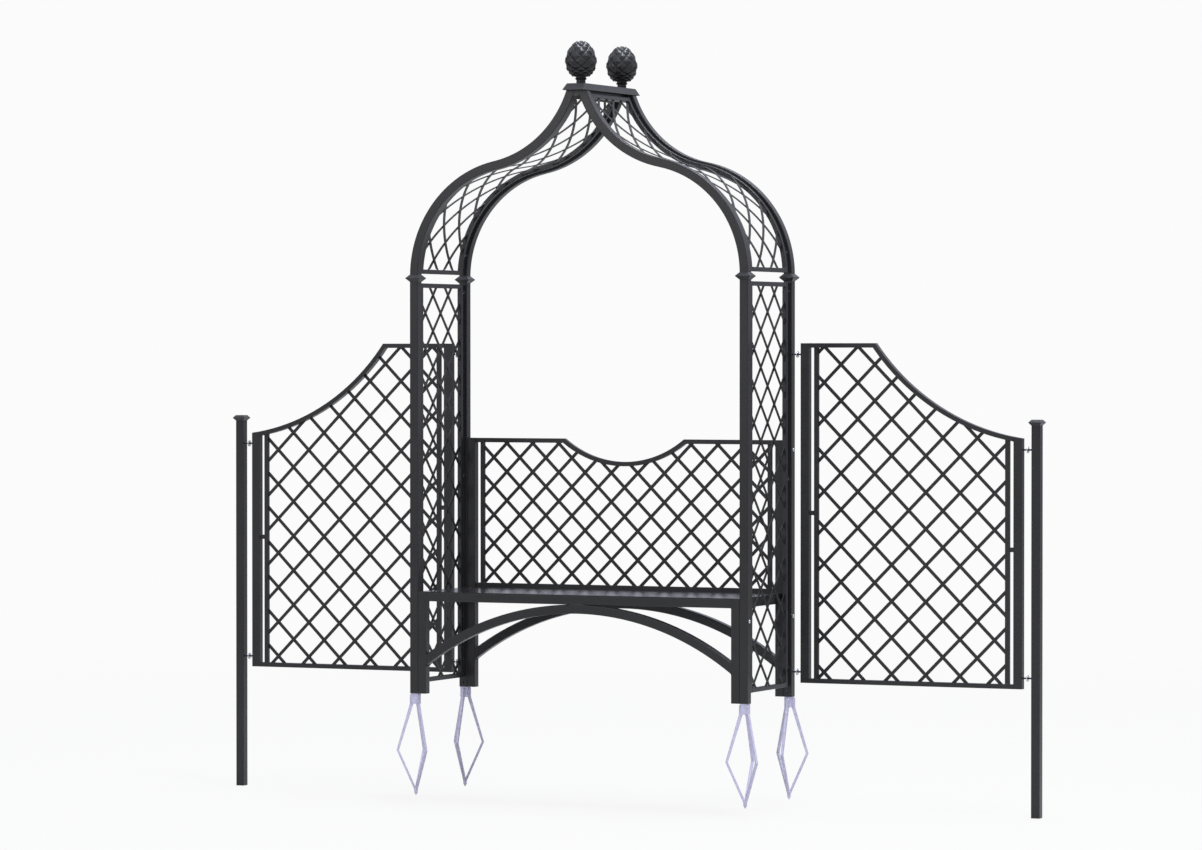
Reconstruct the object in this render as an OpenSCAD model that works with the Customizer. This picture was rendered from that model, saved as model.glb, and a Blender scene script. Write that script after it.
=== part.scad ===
// Arbor bench: an ogee-arched garden arbor with a seat and two side wings.
// Millimetres, +X right, -Y front, +Z up, origin on the ground midway between the posts.

/* [Arbor posts] */
// Distance between the post centrelines from left to right
bay_w = 1614; // [1400:1:1900]
// Distance between the post centrelines from front to back
bay_d = 500; // [440:1:640]
// Side of the square posts, bench legs and arch tubes
post_s = 40; // [36:1:46]
// Wall of the square tubes
wall = 2; // [1.5:0.1:2.5]
// Corner radius of the square tubes
tube_r = 3; // [2.6:0.1:4]
// Height of the posts above the ground
post_h = 1855; // [1750:1:2100]

/* [Capitals] */
// Height of a capital between the post and the arch tube
capital_h = 32; // [24:1:44]
// Width of a capital across its sharp edge
capital_w = 70; // [60:1:84]
// Length of the spigots that plug a capital into its tubes
spigot_l = 30; // [15:1:60]
// Clearance all round a spigot in its tube
spigot_clear = 0.3; // [0.1:0.1:0.8]

/* [Ogee arch] */
// Steepest lean of the arch from the vertical, in degrees
arch_lean = 77.27; // [72:0.01:82]
// Straight run between the two curves of the arch
arch_straight = 27.6; // [5:0.1:60]
// Depth that the curve springs below the top of the capital
arch_sink = 5.5; // [0:0.5:10]
// Lean of the arch tubes where they meet at the ridge, in degrees
ridge_lean = 20.74; // [16:0.01:26]
// Gap between the left and right arch tubes inside the ridge cap
crown_gap = 3.2; // [1:0.1:8]

/* [Ridge] */
// Rise of the cap's lower edge above the end of the arch curve
cap_rise = 14; // [8:0.5:20]
// Height of the ridge cap
cap_h = 30; // [28:1:45]
// Sheet thickness of the ridge cap
cap_t = 2; // [1:0.1:3]
// Gap between the arch tubes and the inside of the cap
cap_clear = 2; // [1:0.1:5]
// Reach of the cap past the front and back faces of the arches
cap_reach = 33; // [28:1:50]
// Run of the hipped ends of the cap
cap_hip = 25.5; // [10:0.5:27]
// Depth that the arch tubes reach into the cap
tip_in = 12; // [6:0.5:16]
// Side of the square ridge beam
beam_s = 40; // [34:1:44]

/* [Finials] */
// Distance from the post centreline to the finial's axis
finial_in = 31; // [25:1:60]
// Radius of the stem
stem_r = 20.5; // [16:0.5:24]
// Height of the stem with its collar
stem_h = 32; // [26:1:45]
// Radius of the collar
collar_r = 26.7; // [25:0.1:32]
// Height of the edge of the collar above the foot of the stem
collar_z = 22; // [14:0.5:26]
// Half height of the edge of the collar
collar_edge = 2; // [1:0.1:3]
// Largest radius of the cone
cone_r = 71; // [55:0.5:85]
// Height of the cone
cone_h = 160; // [130:1:200]
// Height of the widest place of the cone
cone_mid = 65; // [50:1:80]
// Radius of the cone where it stands on its collar
cone_foot_r = 34; // [28:0.5:45]
// Rows of scales on the cone
scale_rows = 8; // [5:1:10]
// Scales in each row of the cone
scales_round = 8; // [6:1:14]
// Depth that the scales stand out
scale_out = 7; // [3:0.5:9]
// Height of the point of a scale
scale_tip = 16; // [8:0.5:24]
// Thickness of the upper edge of a scale
scale_edge = 1.2; // [0.6:0.1:2]
// Height of the bare crown of the cone
crown_h = 10; // [6:0.5:16]
// Radius of the threaded rod that clamps a finial to the ridge beam
rod_r = 6; // [4:0.5:8]
// Length of the threaded rod below the ridge cap
rod_l = 24; // [10:1:34]

/* [Trellis panels] */
// Side of the square frame tube of a trellis
frame_s = 20; // [16:1:24]
// Corner radius of the trellis frame tube
frame_r = 2; // [1.8:0.1:3]
// Wall of the trellis frame tube
frame_wall = 1.5; // [1:0.1:1.7]
// Gap between a trellis frame and the posts or arch tubes beside it
panel_gap = 18; // [10:1:30]
// Height of the side trellis above the ground
side_z = 45; // [30:1:80]
// Gap between the side trellis and the foot of the capitals
side_top_gap = 6; // [3:1:20]
// Gap between the arch trellis and the top of the capitals
arch_gap = 5; // [3:1:12]
// Width of the lattice flats
flat_w = 15; // [10:0.5:20]
// Thickness of the lattice flats
flat_t = 3; // [2:0.5:5]
// Rise of the side lattice per unit of depth
side_slope = 1.067; // [0.9:0.001:1.2]
// Spacing of the side lattice along its height
side_pitch = 163.2; // [140:0.1:200]
// Height above the ground of a crossing in the middle of the side lattice
side_phase = 80; // [0:1:164]
// Spacing of the arch lattice along the arch
arch_pitch = 164; // [140:0.1:200]
// Distance along the arch to the first crossing in the middle of its lattice
arch_phase = 154.5; // [80:0.5:244]

/* [Seat] */
// Height of the seat frame
seat_h = 457; // [420:1:500]
// Thickness of the seat sheet
sheet_t = 3; // [2:0.5:5]
// Height of the back legs of the bench
back_h = 1145; // [1050:1:1250]
// Gap between the crown of the brace and the rail above it
brace_gap = 0.3; // [0.1:0.1:2]
// Radius of the underside of the braces below the seat
brace_r = 1246; // [1000:1:1600]

/* [Bench back] */
// Height of the rails of the back panel
back_rail = 20; // [16:1:24]
// Depth of the back panel's rails
back_depth = 20; // [16:1:24]
// Radius of the dip in the top rail
dip_r = 475; // [420:1:560]
// Depth of the dip in the top rail
dip_d = 104; // [70:1:130]
// Side of the back lattice stiles along the bench
stile_w = 20; // [14:1:24]
// Depth of the lattice stiles
stile_d = 15; // [12:1:18]
// Gap between the bench legs and the back lattice stiles
back_gap = 22.5; // [12:0.5:40]
// Cells of the back lattice over its height
back_rows = 4.9; // [3.9:0.1:5.9]
// Cells of the back lattice over its width
back_cols = 10.7; // [8.7:0.1:12.7]
// Height of the lowest crossing in the middle of the back, in cells above its bottom rail
back_first = 0.383; // [0.1:0.001:0.9]

/* [Wings] */
// Gap between an arbor post and its wing
wing_gap = 41; // [30:1:60]
// Width of a wing
wing_w = 1045.5; // [800:0.5:1200]
// Height of a wing above the ground
wing_z = 64; // [40:1:100]
// Height of the flat top of a wing
wing_top = 1578; // [1500:1:1680]
// Width of the flat top of a wing
wing_flat = 355; // [250:1:420]
// Step from the top of an outer post down to the outer end of its wing
wing_step = 57; // [40:1:100]
// Radius of the sweep in the top of a wing
sweep_r = 1013; // [950:1:1200]
// Depth of the wing frame
wing_depth = 30; // [24:1:36]
// Width of the upright tubes of the wing frame
wing_stile = 40; // [30:1:50]
// Height of the rails of the wing frame
wing_rail = 20; // [16:1:26]
// Gap between the wing frame's uprights and its lattice
wing_lattice_gap = 21.5; // [12:0.5:35]
// Spacing of the wing lattice along its height
wing_pitch = 161.17; // [130:0.01:200]
// Distance of the first column of crossings from the wing's inner end
wing_phase_x = 107.5; // [60:0.5:140]
// Height above the ground of a crossing in that column
wing_phase_z = 1564.5; // [1450:0.5:1620]
// Height above the ground of the inner spacer of the lattice
spacer_in_z = 822; // [300:1:1200]
// Height above the ground of the outer spacer of the lattice
spacer_out_z = 673; // [300:1:1000]
// Height of a lattice spacer
spacer_h = 20; // [12:1:30]

/* [Outer posts] */
// Gap between a wing and its outer post
outer_gap = 44; // [30:1:60]
// Height of the outer posts above the ground
outer_h = 1218; // [1190:1:1320]
// Depth that the outer posts are sunk in the ground
outer_sunk = 498; // [300:1:600]
// Height of an outer post's cap
outer_cap_h = 25; // [18:1:36]
// Width of an outer post's cap
outer_cap_w = 60; // [52:1:76]

/* [Fastenings] */
// Radius of the bolts and studs
bolt_r = 4; // [3:0.5:5]
// Radial clearance of the bolts and studs
bolt_clear = 0.4; // [0.2:0.1:0.8]
// Radius of the bolt heads
head_r = 8; // [7:0.5:10]
// Height of the bolt heads
head_h = 4.5; // [3:0.5:7]
// Height of the lower bolts of the bench above the ground
bolt_low_z = 360; // [250:1:380]
// Distance of the upper bolts of the bench below the top of its back legs
bolt_top_drop = 42; // [30:1:200]
// Distance of the upper inner stud below the top of a wing
stud_top_drop = 50; // [40:1:200]
// Distance of the upper outer stud below the outer end of a wing
stud_out_drop = 50; // [40:1:200]
// Distance of the lower studs above the bottom of a wing
stud_rise = 48; // [40:1:120]
// Depth that the studs reach into the tubes they join
stud_in = 14; // [8:0.5:18]
// Radius of the discs on the wing studs
disc_r = 15; // [11:0.5:18]
// Thickness of the discs on the wing studs
disc_t = 5; // [3:0.5:10]
// Height of the lowest panel fixings above the ground
fix_low_z = 130; // [100:1:300]
// Distance of the highest panel fixings below the capitals
fix_top_drop = 45; // [30:1:200]
// Radius of the sleeves of the panel fixings
fix_r = 6; // [4:0.5:9]
// Distance along the arch from its end fixings to the ends of the arch trellis
arch_fix_in = 90; // [60:1:200]

/* [Ground anchors] */
// Side of the square neck inside a post
neck_s = 33; // [28:1:35]
// Length of the neck inside a post
neck_in = 85; // [60:1:90]
// Depth of the neck below the ground
neck_out = 47; // [35:1:70]
// Depth of the top of the lugs below the ground
lug_depth = 5; // [2:0.5:15]
// Width of the limbs of an anchor
limb_s = 10; // [8:0.5:12]
// Radius at which the limbs start
limb_in_r = 22; // [20:0.5:26]
// Radius at which the limbs bend
limb_out_r = 82; // [60:1:110]
// Depth of the bend of the limbs below the ground
limb_bend = 256; // [200:1:300]
// Depth of the point below the ground
point_depth = 440; // [380:1:520]
// Height of the set screws above the ground
screw_z = 20; // [12:1:40]
// Radius of the set screws
screw_r = 4; // [3:0.5:5]

/* [Hidden] */

eps = 0.01;
layer_gap = 0.3;
flat_step = 22;
paint = [0.27, 0.27, 0.285];
sheet_grey = [0.42, 0.42, 0.44];
zinc = [0.72, 0.72, 0.78];
steel = [0.8, 0.8, 0.82];

post_x = bay_w / 2;
post_y = bay_d / 2;
inner_s = post_s - 2 * wall;
deg = 180 / PI;

capital_z = post_h + capital_h;
spring_z = capital_z - arch_sink;

tan_ridge = tan(ridge_lean);
ridge_x = crown_gap / 2 + post_s / 2 * cos(ridge_lean)
  + (cap_rise + tip_in + post_s / 2 * sin(ridge_lean)) * tan_ridge;
arch_r = (post_x - ridge_x - arch_straight * sin(arch_lean))
  / (1 + cos(ridge_lean) - 2 * cos(arch_lean));
arch_turn = arch_lean - ridge_lean;
low_c = [post_x - arch_r, spring_z];
bend_a = low_c + arch_r * [cos(arch_lean), sin(arch_lean)];
bend_b = bend_a + arch_straight * [-sin(arch_lean), cos(arch_lean)];
arch_mid = (bend_a + bend_b) / 2;
high_c = bend_b + arch_r * [cos(arch_lean), sin(arch_lean)];
arch_top = high_c - arch_r * [cos(ridge_lean), sin(ridge_lean)];
len_low = arch_r * arch_lean / deg;
len_mid = len_low + arch_straight;
arch_len = len_mid + arch_r * arch_turn / deg;

cap_z = arch_top[1] + cap_rise;
tip_z = cap_z + tip_in;
tip_turn = (cap_rise + tip_in + post_s / 2) / arch_r * deg;
cap_half = ridge_x + post_s / 2 * cos(ridge_lean)
  - (cap_rise - post_s / 2 * sin(ridge_lean)) * tan_ridge + cap_clear + cap_t;
cap_end = post_y + post_s / 2 + cap_reach;
beam_z = cap_z + cap_h - cap_t - beam_s;
stem_z = cap_z + cap_h;
finial_y = post_y - finial_in;

panel_half = post_y - post_s / 2 - panel_gap;
panel_in = panel_half - frame_s;
side_top = post_h - side_top_gap;
arch_start = arch_sink + arch_gap;

leg_x = post_x - post_s;
leg_in = leg_x - post_s / 2;
seat_top = seat_h + sheet_t;
brace_c = seat_h - post_s - brace_gap - post_s - brace_r;
bolt_top_z = back_h - bolt_top_drop;
dip_c = back_h - dip_d + dip_r;
stile_out = leg_in - back_gap;
back_low = seat_top;
lattice_low = back_low + back_rail;
back_half = stile_out - stile_w;
back_pitch = (back_h - back_rail - lattice_low) / back_rows;
back_slope = back_pitch / (2 * back_half / back_cols);

wing_x = post_x + post_s / 2 + wing_gap;
wing_end = wing_x + wing_w;
wing_low = outer_h - wing_step;
stud_top_z = wing_top - stud_top_drop;
stud_out_z = wing_low - stud_out_drop;
stud_low_z = wing_z + stud_rise;
outer_x = wing_end + outer_gap + post_s / 2;
sweep_from = [wing_x + wing_flat, wing_top];
sweep_to = [wing_end, wing_low];
sweep_chord = norm(sweep_to - sweep_from);
sweep_dir = (sweep_to - sweep_from) / sweep_chord;
sweep_c = (sweep_from + sweep_to) / 2
  + sqrt(sweep_r * sweep_r - sweep_chord * sweep_chord / 4) * [-sweep_dir[1], sweep_dir[0]];
wing_stile_in = wing_x + wing_stile + wing_lattice_gap;
wing_stile_out = wing_end - wing_stile - wing_lattice_gap;

// Point in the right half of the arch at a distance along its curve and an offset outwards
function arch_point(s, off) =
  s < len_low ? let (a = s / arch_r * deg) low_c + (arch_r + off) * [cos(a), sin(a)]
  : s < len_mid ? bend_a + (s - len_low) * [-sin(arch_lean), cos(arch_lean)]
    + off * [cos(arch_lean), sin(arch_lean)]
  : let (a = 180 + arch_lean - (s - len_mid) / arch_r * deg) high_c + (arch_r - off) * [cos(a), sin(a)];

module rounded(w, d, r) {
  square([w - 2 * r, d], center = true);
  square([w, d - 2 * r], center = true);
  for (x = [-1, 1], y = [-1, 1]) translate([x * (w / 2 - r), y * (d / 2 - r)]) circle(r, $fn = 32);
}

module tube_section(w, d, r, t) {
  difference() {
    rounded(w, d, r);
    rounded(w - 2 * t, d - 2 * t, r - t);
  }
}

// Square tube standing on the plane z = 0
module big_tube(l) {
  linear_extrude(l) tube_section(post_s, post_s, tube_r, wall);
}

module big_tube_x(l) {
  translate([-l / 2, 0, 0]) rotate([0, 90, 0]) big_tube(l);
}

module big_tube_y(l) {
  translate([0, l / 2, 0]) rotate([90, 0, 0]) big_tube(l);
}

module hole_x(r, x0, x1) {
  translate([x0, 0, 0]) rotate([0, 90, 0]) cylinder(r = r, h = x1 - x0, $fn = 48);
}

module hole_y(r, y0, y1) {
  translate([0, y1, 0]) rotate([90, 0, 0]) cylinder(r = r, h = y1 - y0, $fn = 48);
}

// Curve that leaves the end of the straight run, turning to one side
module arch_curve(turn, w, d, r, t) {
  translate([arch_straight / 2, arch_r, 0]) rotate([0, 0, -90]) rotate_extrude(angle = turn, $fn = 180)
    translate([arch_r, 0]) tube_section(w, d, r, t);
}

// Hollow tube from the spring of the arch to the ridge, drawn from the middle of its straight run
module arch_run(w, d, r, t, over) {
  translate([arch_mid[0], 0, arch_mid[1]]) rotate([90, 0, 0]) rotate([0, 0, 90 + arch_lean]) {
    mirror([1, 0, 0]) arch_curve(arch_lean, w, d, r, t);
    mirror([0, 1, 0]) arch_curve(arch_turn + over, w, d, r, t);
    translate([-arch_straight / 2, 0, 0]) rotate([90, 0, 90]) linear_extrude(arch_straight)
      tube_section(w, d, r, t);
  }
}

module double_pyramid(base, widest, h) {
  outline = [
    [-base / 2, 0], [-widest / 2, h / 2 - 1], [-widest / 2, h / 2 + 1], [-base / 2, h],
    [base / 2, h], [widest / 2, h / 2 + 1], [widest / 2, h / 2 - 1], [base / 2, 0]
  ];
  intersection() {
    translate([0, widest, 0]) rotate([90, 0, 0]) linear_extrude(2 * widest) polygon(outline);
    translate([-widest, 0, 0]) rotate([90, 0, 90]) linear_extrude(2 * widest) polygon(outline);
  }
}

// Crossing flats in two layers over the plane, cut to the outline given as the child
module lattice(pitch, slope, x0, z0, reach_low, reach_high, half_w) {
  k0 = floor((reach_low - z0 - half_w * slope) / pitch);
  k1 = ceil((reach_high - z0 + half_w * slope) / pitch);
  strip_l = 2 * half_w * sqrt(1 + slope * slope) + 4 * flat_w;
  for (layer = [-1, 1])
    translate([0, layer * flat_t / 2 + flat_t / 2, 0]) rotate([90, 0, 0]) linear_extrude(flat_t)
      intersection() {
        for (k = [k0 : k1]) translate([x0, z0 + k * pitch]) rotate(layer * atan(slope))
          square([strip_l, flat_w], center = true);
        children();
      }
}

module post(x, y) {
  color(paint) difference() {
    translate([x * post_x, y * post_y, 0]) big_tube(post_h);
    translate([0, y * post_y, bolt_low_z]) hole_x(bolt_r + bolt_clear, -outer_x, outer_x);
    if (y > 0) {
      translate([0, post_y, bolt_top_z]) hole_x(bolt_r + bolt_clear, -outer_x, outer_x);
      for (z = [stud_top_z, stud_low_z]) translate([0, post_y, z]) mirror([x > 0 ? 0 : 1, 0, 0])
        hole_x(bolt_r + bolt_clear, post_x, outer_x);
    }
    translate([x * post_x, 0, screw_z]) mirror([0, y > 0 ? 0 : 1, 0])
      hole_y(screw_r + bolt_clear, 0, post_y);
  }
}

module capital(x, y) {
  plug = inner_s - 2 * spigot_clear;
  loose = plug - 2 * spigot_clear - spigot_l * spigot_l / 4 / arch_r;
  color(paint) translate([x * post_x, y * post_y, 0]) {
    translate([0, 0, post_h]) double_pyramid(post_s, capital_w, capital_h);
    translate([0, 0, post_h - spigot_l]) linear_extrude(spigot_l + eps) rounded(plug, plug, 1);
    translate([0, 0, capital_z - eps]) linear_extrude(spigot_l / 2) rounded(loose, loose, 1);
  }
}

module arch_tube(x, y) {
  color(paint) mirror([x > 0 ? 0 : 1, 0, 0]) translate([0, y * post_y, 0]) difference() {
    arch_run(post_s, post_s, tube_r, wall, tip_turn);
    translate([post_x - post_s, -post_s, capital_z - 2 * post_s]) cube(2 * post_s);
    translate([ridge_x - 2 * post_s, -post_s, tip_z]) cube([4 * post_s, 2 * post_s, 3 * post_s]);
  }
}

module side_frame(x) {
  color(paint) translate([x * post_x, 0, 0]) {
    for (y = [-1, 1]) translate([0, y * (panel_half - frame_s / 2), side_z])
      linear_extrude(side_top - side_z) tube_section(frame_s, frame_s, frame_r, frame_wall);
    for (z = [side_z + frame_s / 2, side_top - frame_s / 2]) translate([0, panel_in, z])
      rotate([90, 0, 0]) linear_extrude(2 * panel_in)
        tube_section(frame_s, frame_s, frame_r, frame_wall);
  }
}

module side_lattice(x) {
  low = side_z + frame_s;
  high = side_top - frame_s;
  color(paint) translate([x * post_x, 0, 0]) rotate([0, 0, -90])
    lattice(side_pitch, side_slope, 0, side_phase, low, high, panel_in)
      translate([-panel_in, low]) square([2 * panel_in, high - low]);
}

module arch_frame(x) {
  foot = arch_point(arch_start, 0);
  color(paint) mirror([x > 0 ? 0 : 1, 0, 0]) {
    for (y = [-1, 1]) difference() {
      translate([0, y * (panel_half - frame_s / 2), 0])
        arch_run(frame_s, frame_s, frame_r, frame_wall, 0);
      translate([post_x - post_s, -post_y, capital_z + arch_gap - 2 * post_s])
        cube([2 * post_s, 2 * post_y, 2 * post_s]);
    }
    translate([foot[0], panel_in, capital_z + arch_gap + frame_s / 2]) rotate([90, 0, 0])
      linear_extrude(2 * panel_in) tube_section(frame_s, frame_s, frame_r, frame_wall);
    translate([arch_top[0], panel_in, arch_top[1]]) rotate([0, -ridge_lean, 0])
      translate([0, 0, -frame_s / 2 - 1]) rotate([90, 0, 0]) linear_extrude(2 * panel_in)
        tube_section(frame_s, frame_s, frame_r, frame_wall);
  }
}

// One flat of the arch lattice, bent along the arch and cut square to the rails and stiles.
// It crosses the middle at mid_s, climbs towards +Y and lies off the centre surface.
module bent_flat(mid_s, off) {
  low = arch_start + frame_s;
  high = arch_len - frame_s;
  half = flat_w * sqrt(1 + side_slope * side_slope) / 2;
  sliver = 1;
  y0 = max(-panel_in, (low - mid_s - half + sliver) / side_slope);
  y1 = min(panel_in, (high - mid_s + half - sliver) / side_slope);
  steps = max(2, round((y1 - y0) / flat_step));
  stations = [for (i = [0 : steps]) y0 + (y1 - y0) * i / steps];
  corners = [for (y = stations) for (side = [[-1, -1], [1, -1], [1, 1], [-1, 1]])
    let (s = min(high, max(low, mid_s + y * side_slope + side[0] * half)))
    let (p = arch_point(s, off + side[1] * flat_t / 2)) [p[0], y, p[1]]];
  n = len(stations);
  walls = [for (i = [0 : n - 2]) for (j = [0 : 3]) let (a = 4 * i + j, b = 4 * i + (j + 1) % 4)
    each j == 0 ? [[a, b, a + 4], [b, b + 4, a + 4]] : [[a, b, b + 4], [a, b + 4, a + 4]]];
  polyhedron(corners, concat([[3, 2, 1, 0]], walls, [[4 * n - 4, 4 * n - 3, 4 * n - 2, 4 * n - 1]]));
}

module arch_lattice(x) {
  k0 = -ceil((arch_phase + panel_in * side_slope) / arch_pitch);
  k1 = ceil((arch_len + panel_in * side_slope - arch_phase) / arch_pitch);
  low = arch_start + frame_s;
  high = arch_len - frame_s;
  reach = panel_in * side_slope;
  color(paint) mirror([x > 0 ? 0 : 1, 0, 0]) for (k = [k0 : k1], side = [-1, 1]) {
    mid_s = arch_phase + k * arch_pitch;
    if (mid_s + reach > low + flat_w && mid_s - reach < high - flat_w)
      mirror([0, side > 0 ? 0 : 1, 0]) bent_flat(mid_s, side * (flat_t + layer_gap) / 2);
  }
}

module hipped(half_x, half_y, run_x, run_y, h) {
  intersection() {
    translate([0, half_y, 0]) rotate([90, 0, 0]) linear_extrude(2 * half_y)
      polygon([[-half_x, 0], [half_x, 0], [half_x - run_x, h], [-half_x + run_x, h]]);
    translate([-half_x, 0, 0]) rotate([90, 0, 90]) linear_extrude(2 * half_x)
      polygon([[-half_y, 0], [half_y, 0], [half_y - run_y, h], [-half_y + run_y, h]]);
  }
}

module ridge_cap() {
  inner_h = cap_h - cap_t;
  color(paint) translate([0, 0, cap_z]) difference() {
    hipped(cap_half, cap_end, cap_h * tan_ridge, cap_hip, cap_h);
    hipped(cap_half - cap_t, cap_end - cap_t, inner_h * tan_ridge, cap_hip * inner_h / cap_h, inner_h);
    for (y = [-1, 1]) translate([0, y * finial_y, 0])
      cylinder(r = rod_r + bolt_clear, h = 2 * cap_h, $fn = 48);
  }
}

module ridge_beam() {
  color(paint) difference() {
    translate([0, 0, beam_z + beam_s / 2]) rotate([90, 0, 0]) translate([0, 0, post_s / 2 - post_y])
      linear_extrude(2 * post_y - post_s) tube_section(beam_s, beam_s, tube_r, wall);
    for (y = [-1, 1]) translate([0, y * finial_y, beam_z + beam_s / 2])
      cylinder(r = rod_r + bolt_clear, h = beam_s, $fn = 48);
  }
}

module finial_stem(y) {
  neck_r = (stem_r + collar_r) / 2 - collar_edge / 2;
  color(paint) translate([0, y * finial_y, stem_z]) {
    rotate_extrude($fn = 64) polygon([
      [0, 0], [stem_r, 0], [stem_r, collar_z - 2.5 * collar_edge],
      [collar_r - 0.75 * collar_edge, collar_z - collar_edge], [collar_r, collar_z],
      [collar_r - 0.75 * collar_edge, collar_z + collar_edge], [neck_r, collar_z + 2 * collar_edge],
      [neck_r, stem_h], [0, stem_h]
    ]);
    translate([0, 0, -rod_l]) cylinder(r = rod_r, h = rod_l + eps, $fn = 48);
  }
}

// Radius of the cone over its scales at a height above its foot
function cone_at(h) = h < cone_mid
  ? cone_r * sqrt(1 - pow((cone_mid - h) / cone_mid, 2) * (1 - pow(cone_foot_r / cone_r, 2)))
  : cone_r * sqrt(max(0, 1 - pow((h - cone_mid) / (cone_h - cone_mid), 2)));

// Zigzag between -1 at a scale's point and 1 at the valley between two scales
function zigzag(a, phase) = let (u = a * scales_round / 360 + phase / 2, f = u - floor(u)) 1 - 4 * abs(f - 0.5);

// Ring of the cone at a height that dips between the scales
function cone_ring(h, rise, phase, sunk) = [
  for (i = [0 : 4 * scales_round - 1]) let (a = i * 90 / scales_round)
    let (z = max(scale_edge, min(cone_h - crown_h / 2, h - rise * zigzag(a, phase))))
    let (r = max(crown_h / 3, cone_at(z) - sunk)) [r * cos(a), r * sin(a), z]];

module finial_cone(y) {
  n = 4 * scales_round;
  row_h = (cone_h - scale_tip / 2 - crown_h) / scale_rows;
  rings = concat(
    [cone_ring(0, 0, 0, scale_out)],
    [for (k = [1 : scale_rows]) let (h = k * row_h) each [
      cone_ring(h - row_h * 0.45, 0, 0, scale_out * 0.35),
      cone_ring(h, scale_tip / 2, k, 0),
      cone_ring(h + scale_edge, scale_tip / 2, k, scale_out)]]
  );
  last = len(rings) - 1;
  points = concat([[0, 0, 0]], [for (ring = rings) each ring], [[0, 0, cone_h]]);
  skin = [for (j = [0 : last - 1]) for (i = [0 : n - 1])
    let (a = 1 + j * n + i, b = 1 + j * n + (i + 1) % n) each [[a, a + n, b + n], [a, b + n, b]]];
  foot = [for (i = [0 : n - 1]) [0, 1 + i, 1 + (i + 1) % n]];
  top = [for (i = [0 : n - 1]) [1 + last * n + i, len(points) - 1, 1 + last * n + (i + 1) % n]];
  color(paint) translate([0, y * finial_y, stem_z + stem_h]) polyhedron(points, concat(foot, skin, top));
}

module seat_sheet() {
  half_x = leg_x + post_s / 2;
  notch = post_s;
  color(sheet_grey) translate([0, 0, seat_h]) linear_extrude(sheet_t) difference() {
    translate([-half_x, -post_y - post_s / 2]) square([2 * half_x, bay_d + post_s]);
    for (x = [-1, 1]) translate([x * leg_x, post_y]) square(notch + 2 * eps, center = true);
  }
}

module seat_cross_rail(y) {
  color(paint) translate([0, y * post_y, seat_h - post_s / 2]) big_tube_x(2 * leg_in);
}

module seat_side_rail(x) {
  color(paint) translate([x * leg_x, 0, seat_h - post_s / 2]) big_tube_y(bay_d - post_s);
}

module bench_leg(x, y) {
  h = y > 0 ? back_h : seat_h;
  color(paint) difference() {
    translate([x * leg_x, y * post_y, 0]) big_tube(h);
    for (z = y > 0 ? [bolt_low_z, bolt_top_z] : [bolt_low_z]) translate([0, y * post_y, z])
      mirror([x > 0 ? 0 : 1, 0, 0]) hole_x(bolt_r + bolt_clear, leg_x, post_x);
  }
}

module brace(y) {
  spread = asin(leg_in / brace_r) + 3;
  color(paint) intersection() {
    translate([0, y * post_y, brace_c]) rotate([90, 0, 0]) rotate([0, 0, 90 - spread])
      rotate_extrude(angle = 2 * spread, $fn = 180) translate([brace_r + post_s / 2, 0])
        tube_section(post_s, post_s, tube_r, wall);
    translate([-leg_in, -bay_d, 0]) cube([2 * leg_in, 2 * bay_d, seat_h]);
  }
}

// Region of the bench back below the height given, with the dip cut away
module back_region(inset) {
  difference() {
    translate([-leg_in, back_low]) square([2 * leg_in, back_h - inset - back_low]);
    translate([0, dip_c]) circle(dip_r + inset, $fn = 180);
  }
}

// Top and bottom rails of the bench back, drawn in from both of their edges
module back_outline(in) {
  difference() {
    back_region(in);
    back_region(back_rail - in);
  }
  translate([-leg_in, back_low + in]) square([2 * leg_in, back_rail - 2 * in]);
}

module back_frame() {
  color(paint) translate([0, post_y + back_depth / 2, 0]) rotate([90, 0, 0]) difference() {
    linear_extrude(back_depth) back_outline(0);
    translate([0, 0, frame_wall]) linear_extrude(back_depth - 2 * frame_wall) back_outline(frame_wall);
  }
}

module back_lattice() {
  low = lattice_low;
  color(paint) translate([0, post_y, 0]) {
    lattice(back_pitch, back_slope, 0, low + back_first * back_pitch, low, back_h, back_half) intersection() {
      back_region(back_rail);
      translate([-back_half, low]) square([2 * back_half, back_h]);
    }
    for (x = [-1, 1]) translate([x * (stile_out - stile_w / 2), 0, low])
      linear_extrude(back_h - back_rail - low) tube_section(stile_w, stile_d, frame_r, frame_wall);
  }
}

// Outline of a wing inside its top edge, lowered by an inset
module wing_region(inset, x0, x1, low) {
  difference() {
    translate([x0, low]) square([x1 - x0, wing_top - inset - low]);
    translate(sweep_c) circle(sweep_r + inset, $fn = 180);
  }
}

// Rails and uprights of a wing, drawn in from both of their edges
module wing_outline(in) {
  difference() {
    wing_region(in, wing_x + in, wing_end - in, wing_z + in);
    wing_region(wing_rail - in, wing_x + wing_stile - in, wing_end - wing_stile + in, wing_z + wing_rail - in);
  }
}

module wing_frame(x) {
  color(paint) mirror([x > 0 ? 0 : 1, 0, 0]) translate([0, post_y + wing_depth / 2, 0])
    rotate([90, 0, 0]) difference() {
      linear_extrude(wing_depth) wing_outline(0);
      translate([0, 0, frame_wall]) linear_extrude(wing_depth - 2 * frame_wall) wing_outline(frame_wall);
      for (z = [stud_top_z, stud_low_z]) translate([0, z, wing_depth / 2])
        hole_x(bolt_r + bolt_clear, wing_x - 1, wing_x + wing_stile / 2);
      for (z = [stud_out_z, stud_low_z]) translate([0, z, wing_depth / 2])
        hole_x(bolt_r + bolt_clear, wing_end - wing_stile / 2, wing_end + 1);
    }
}

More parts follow.
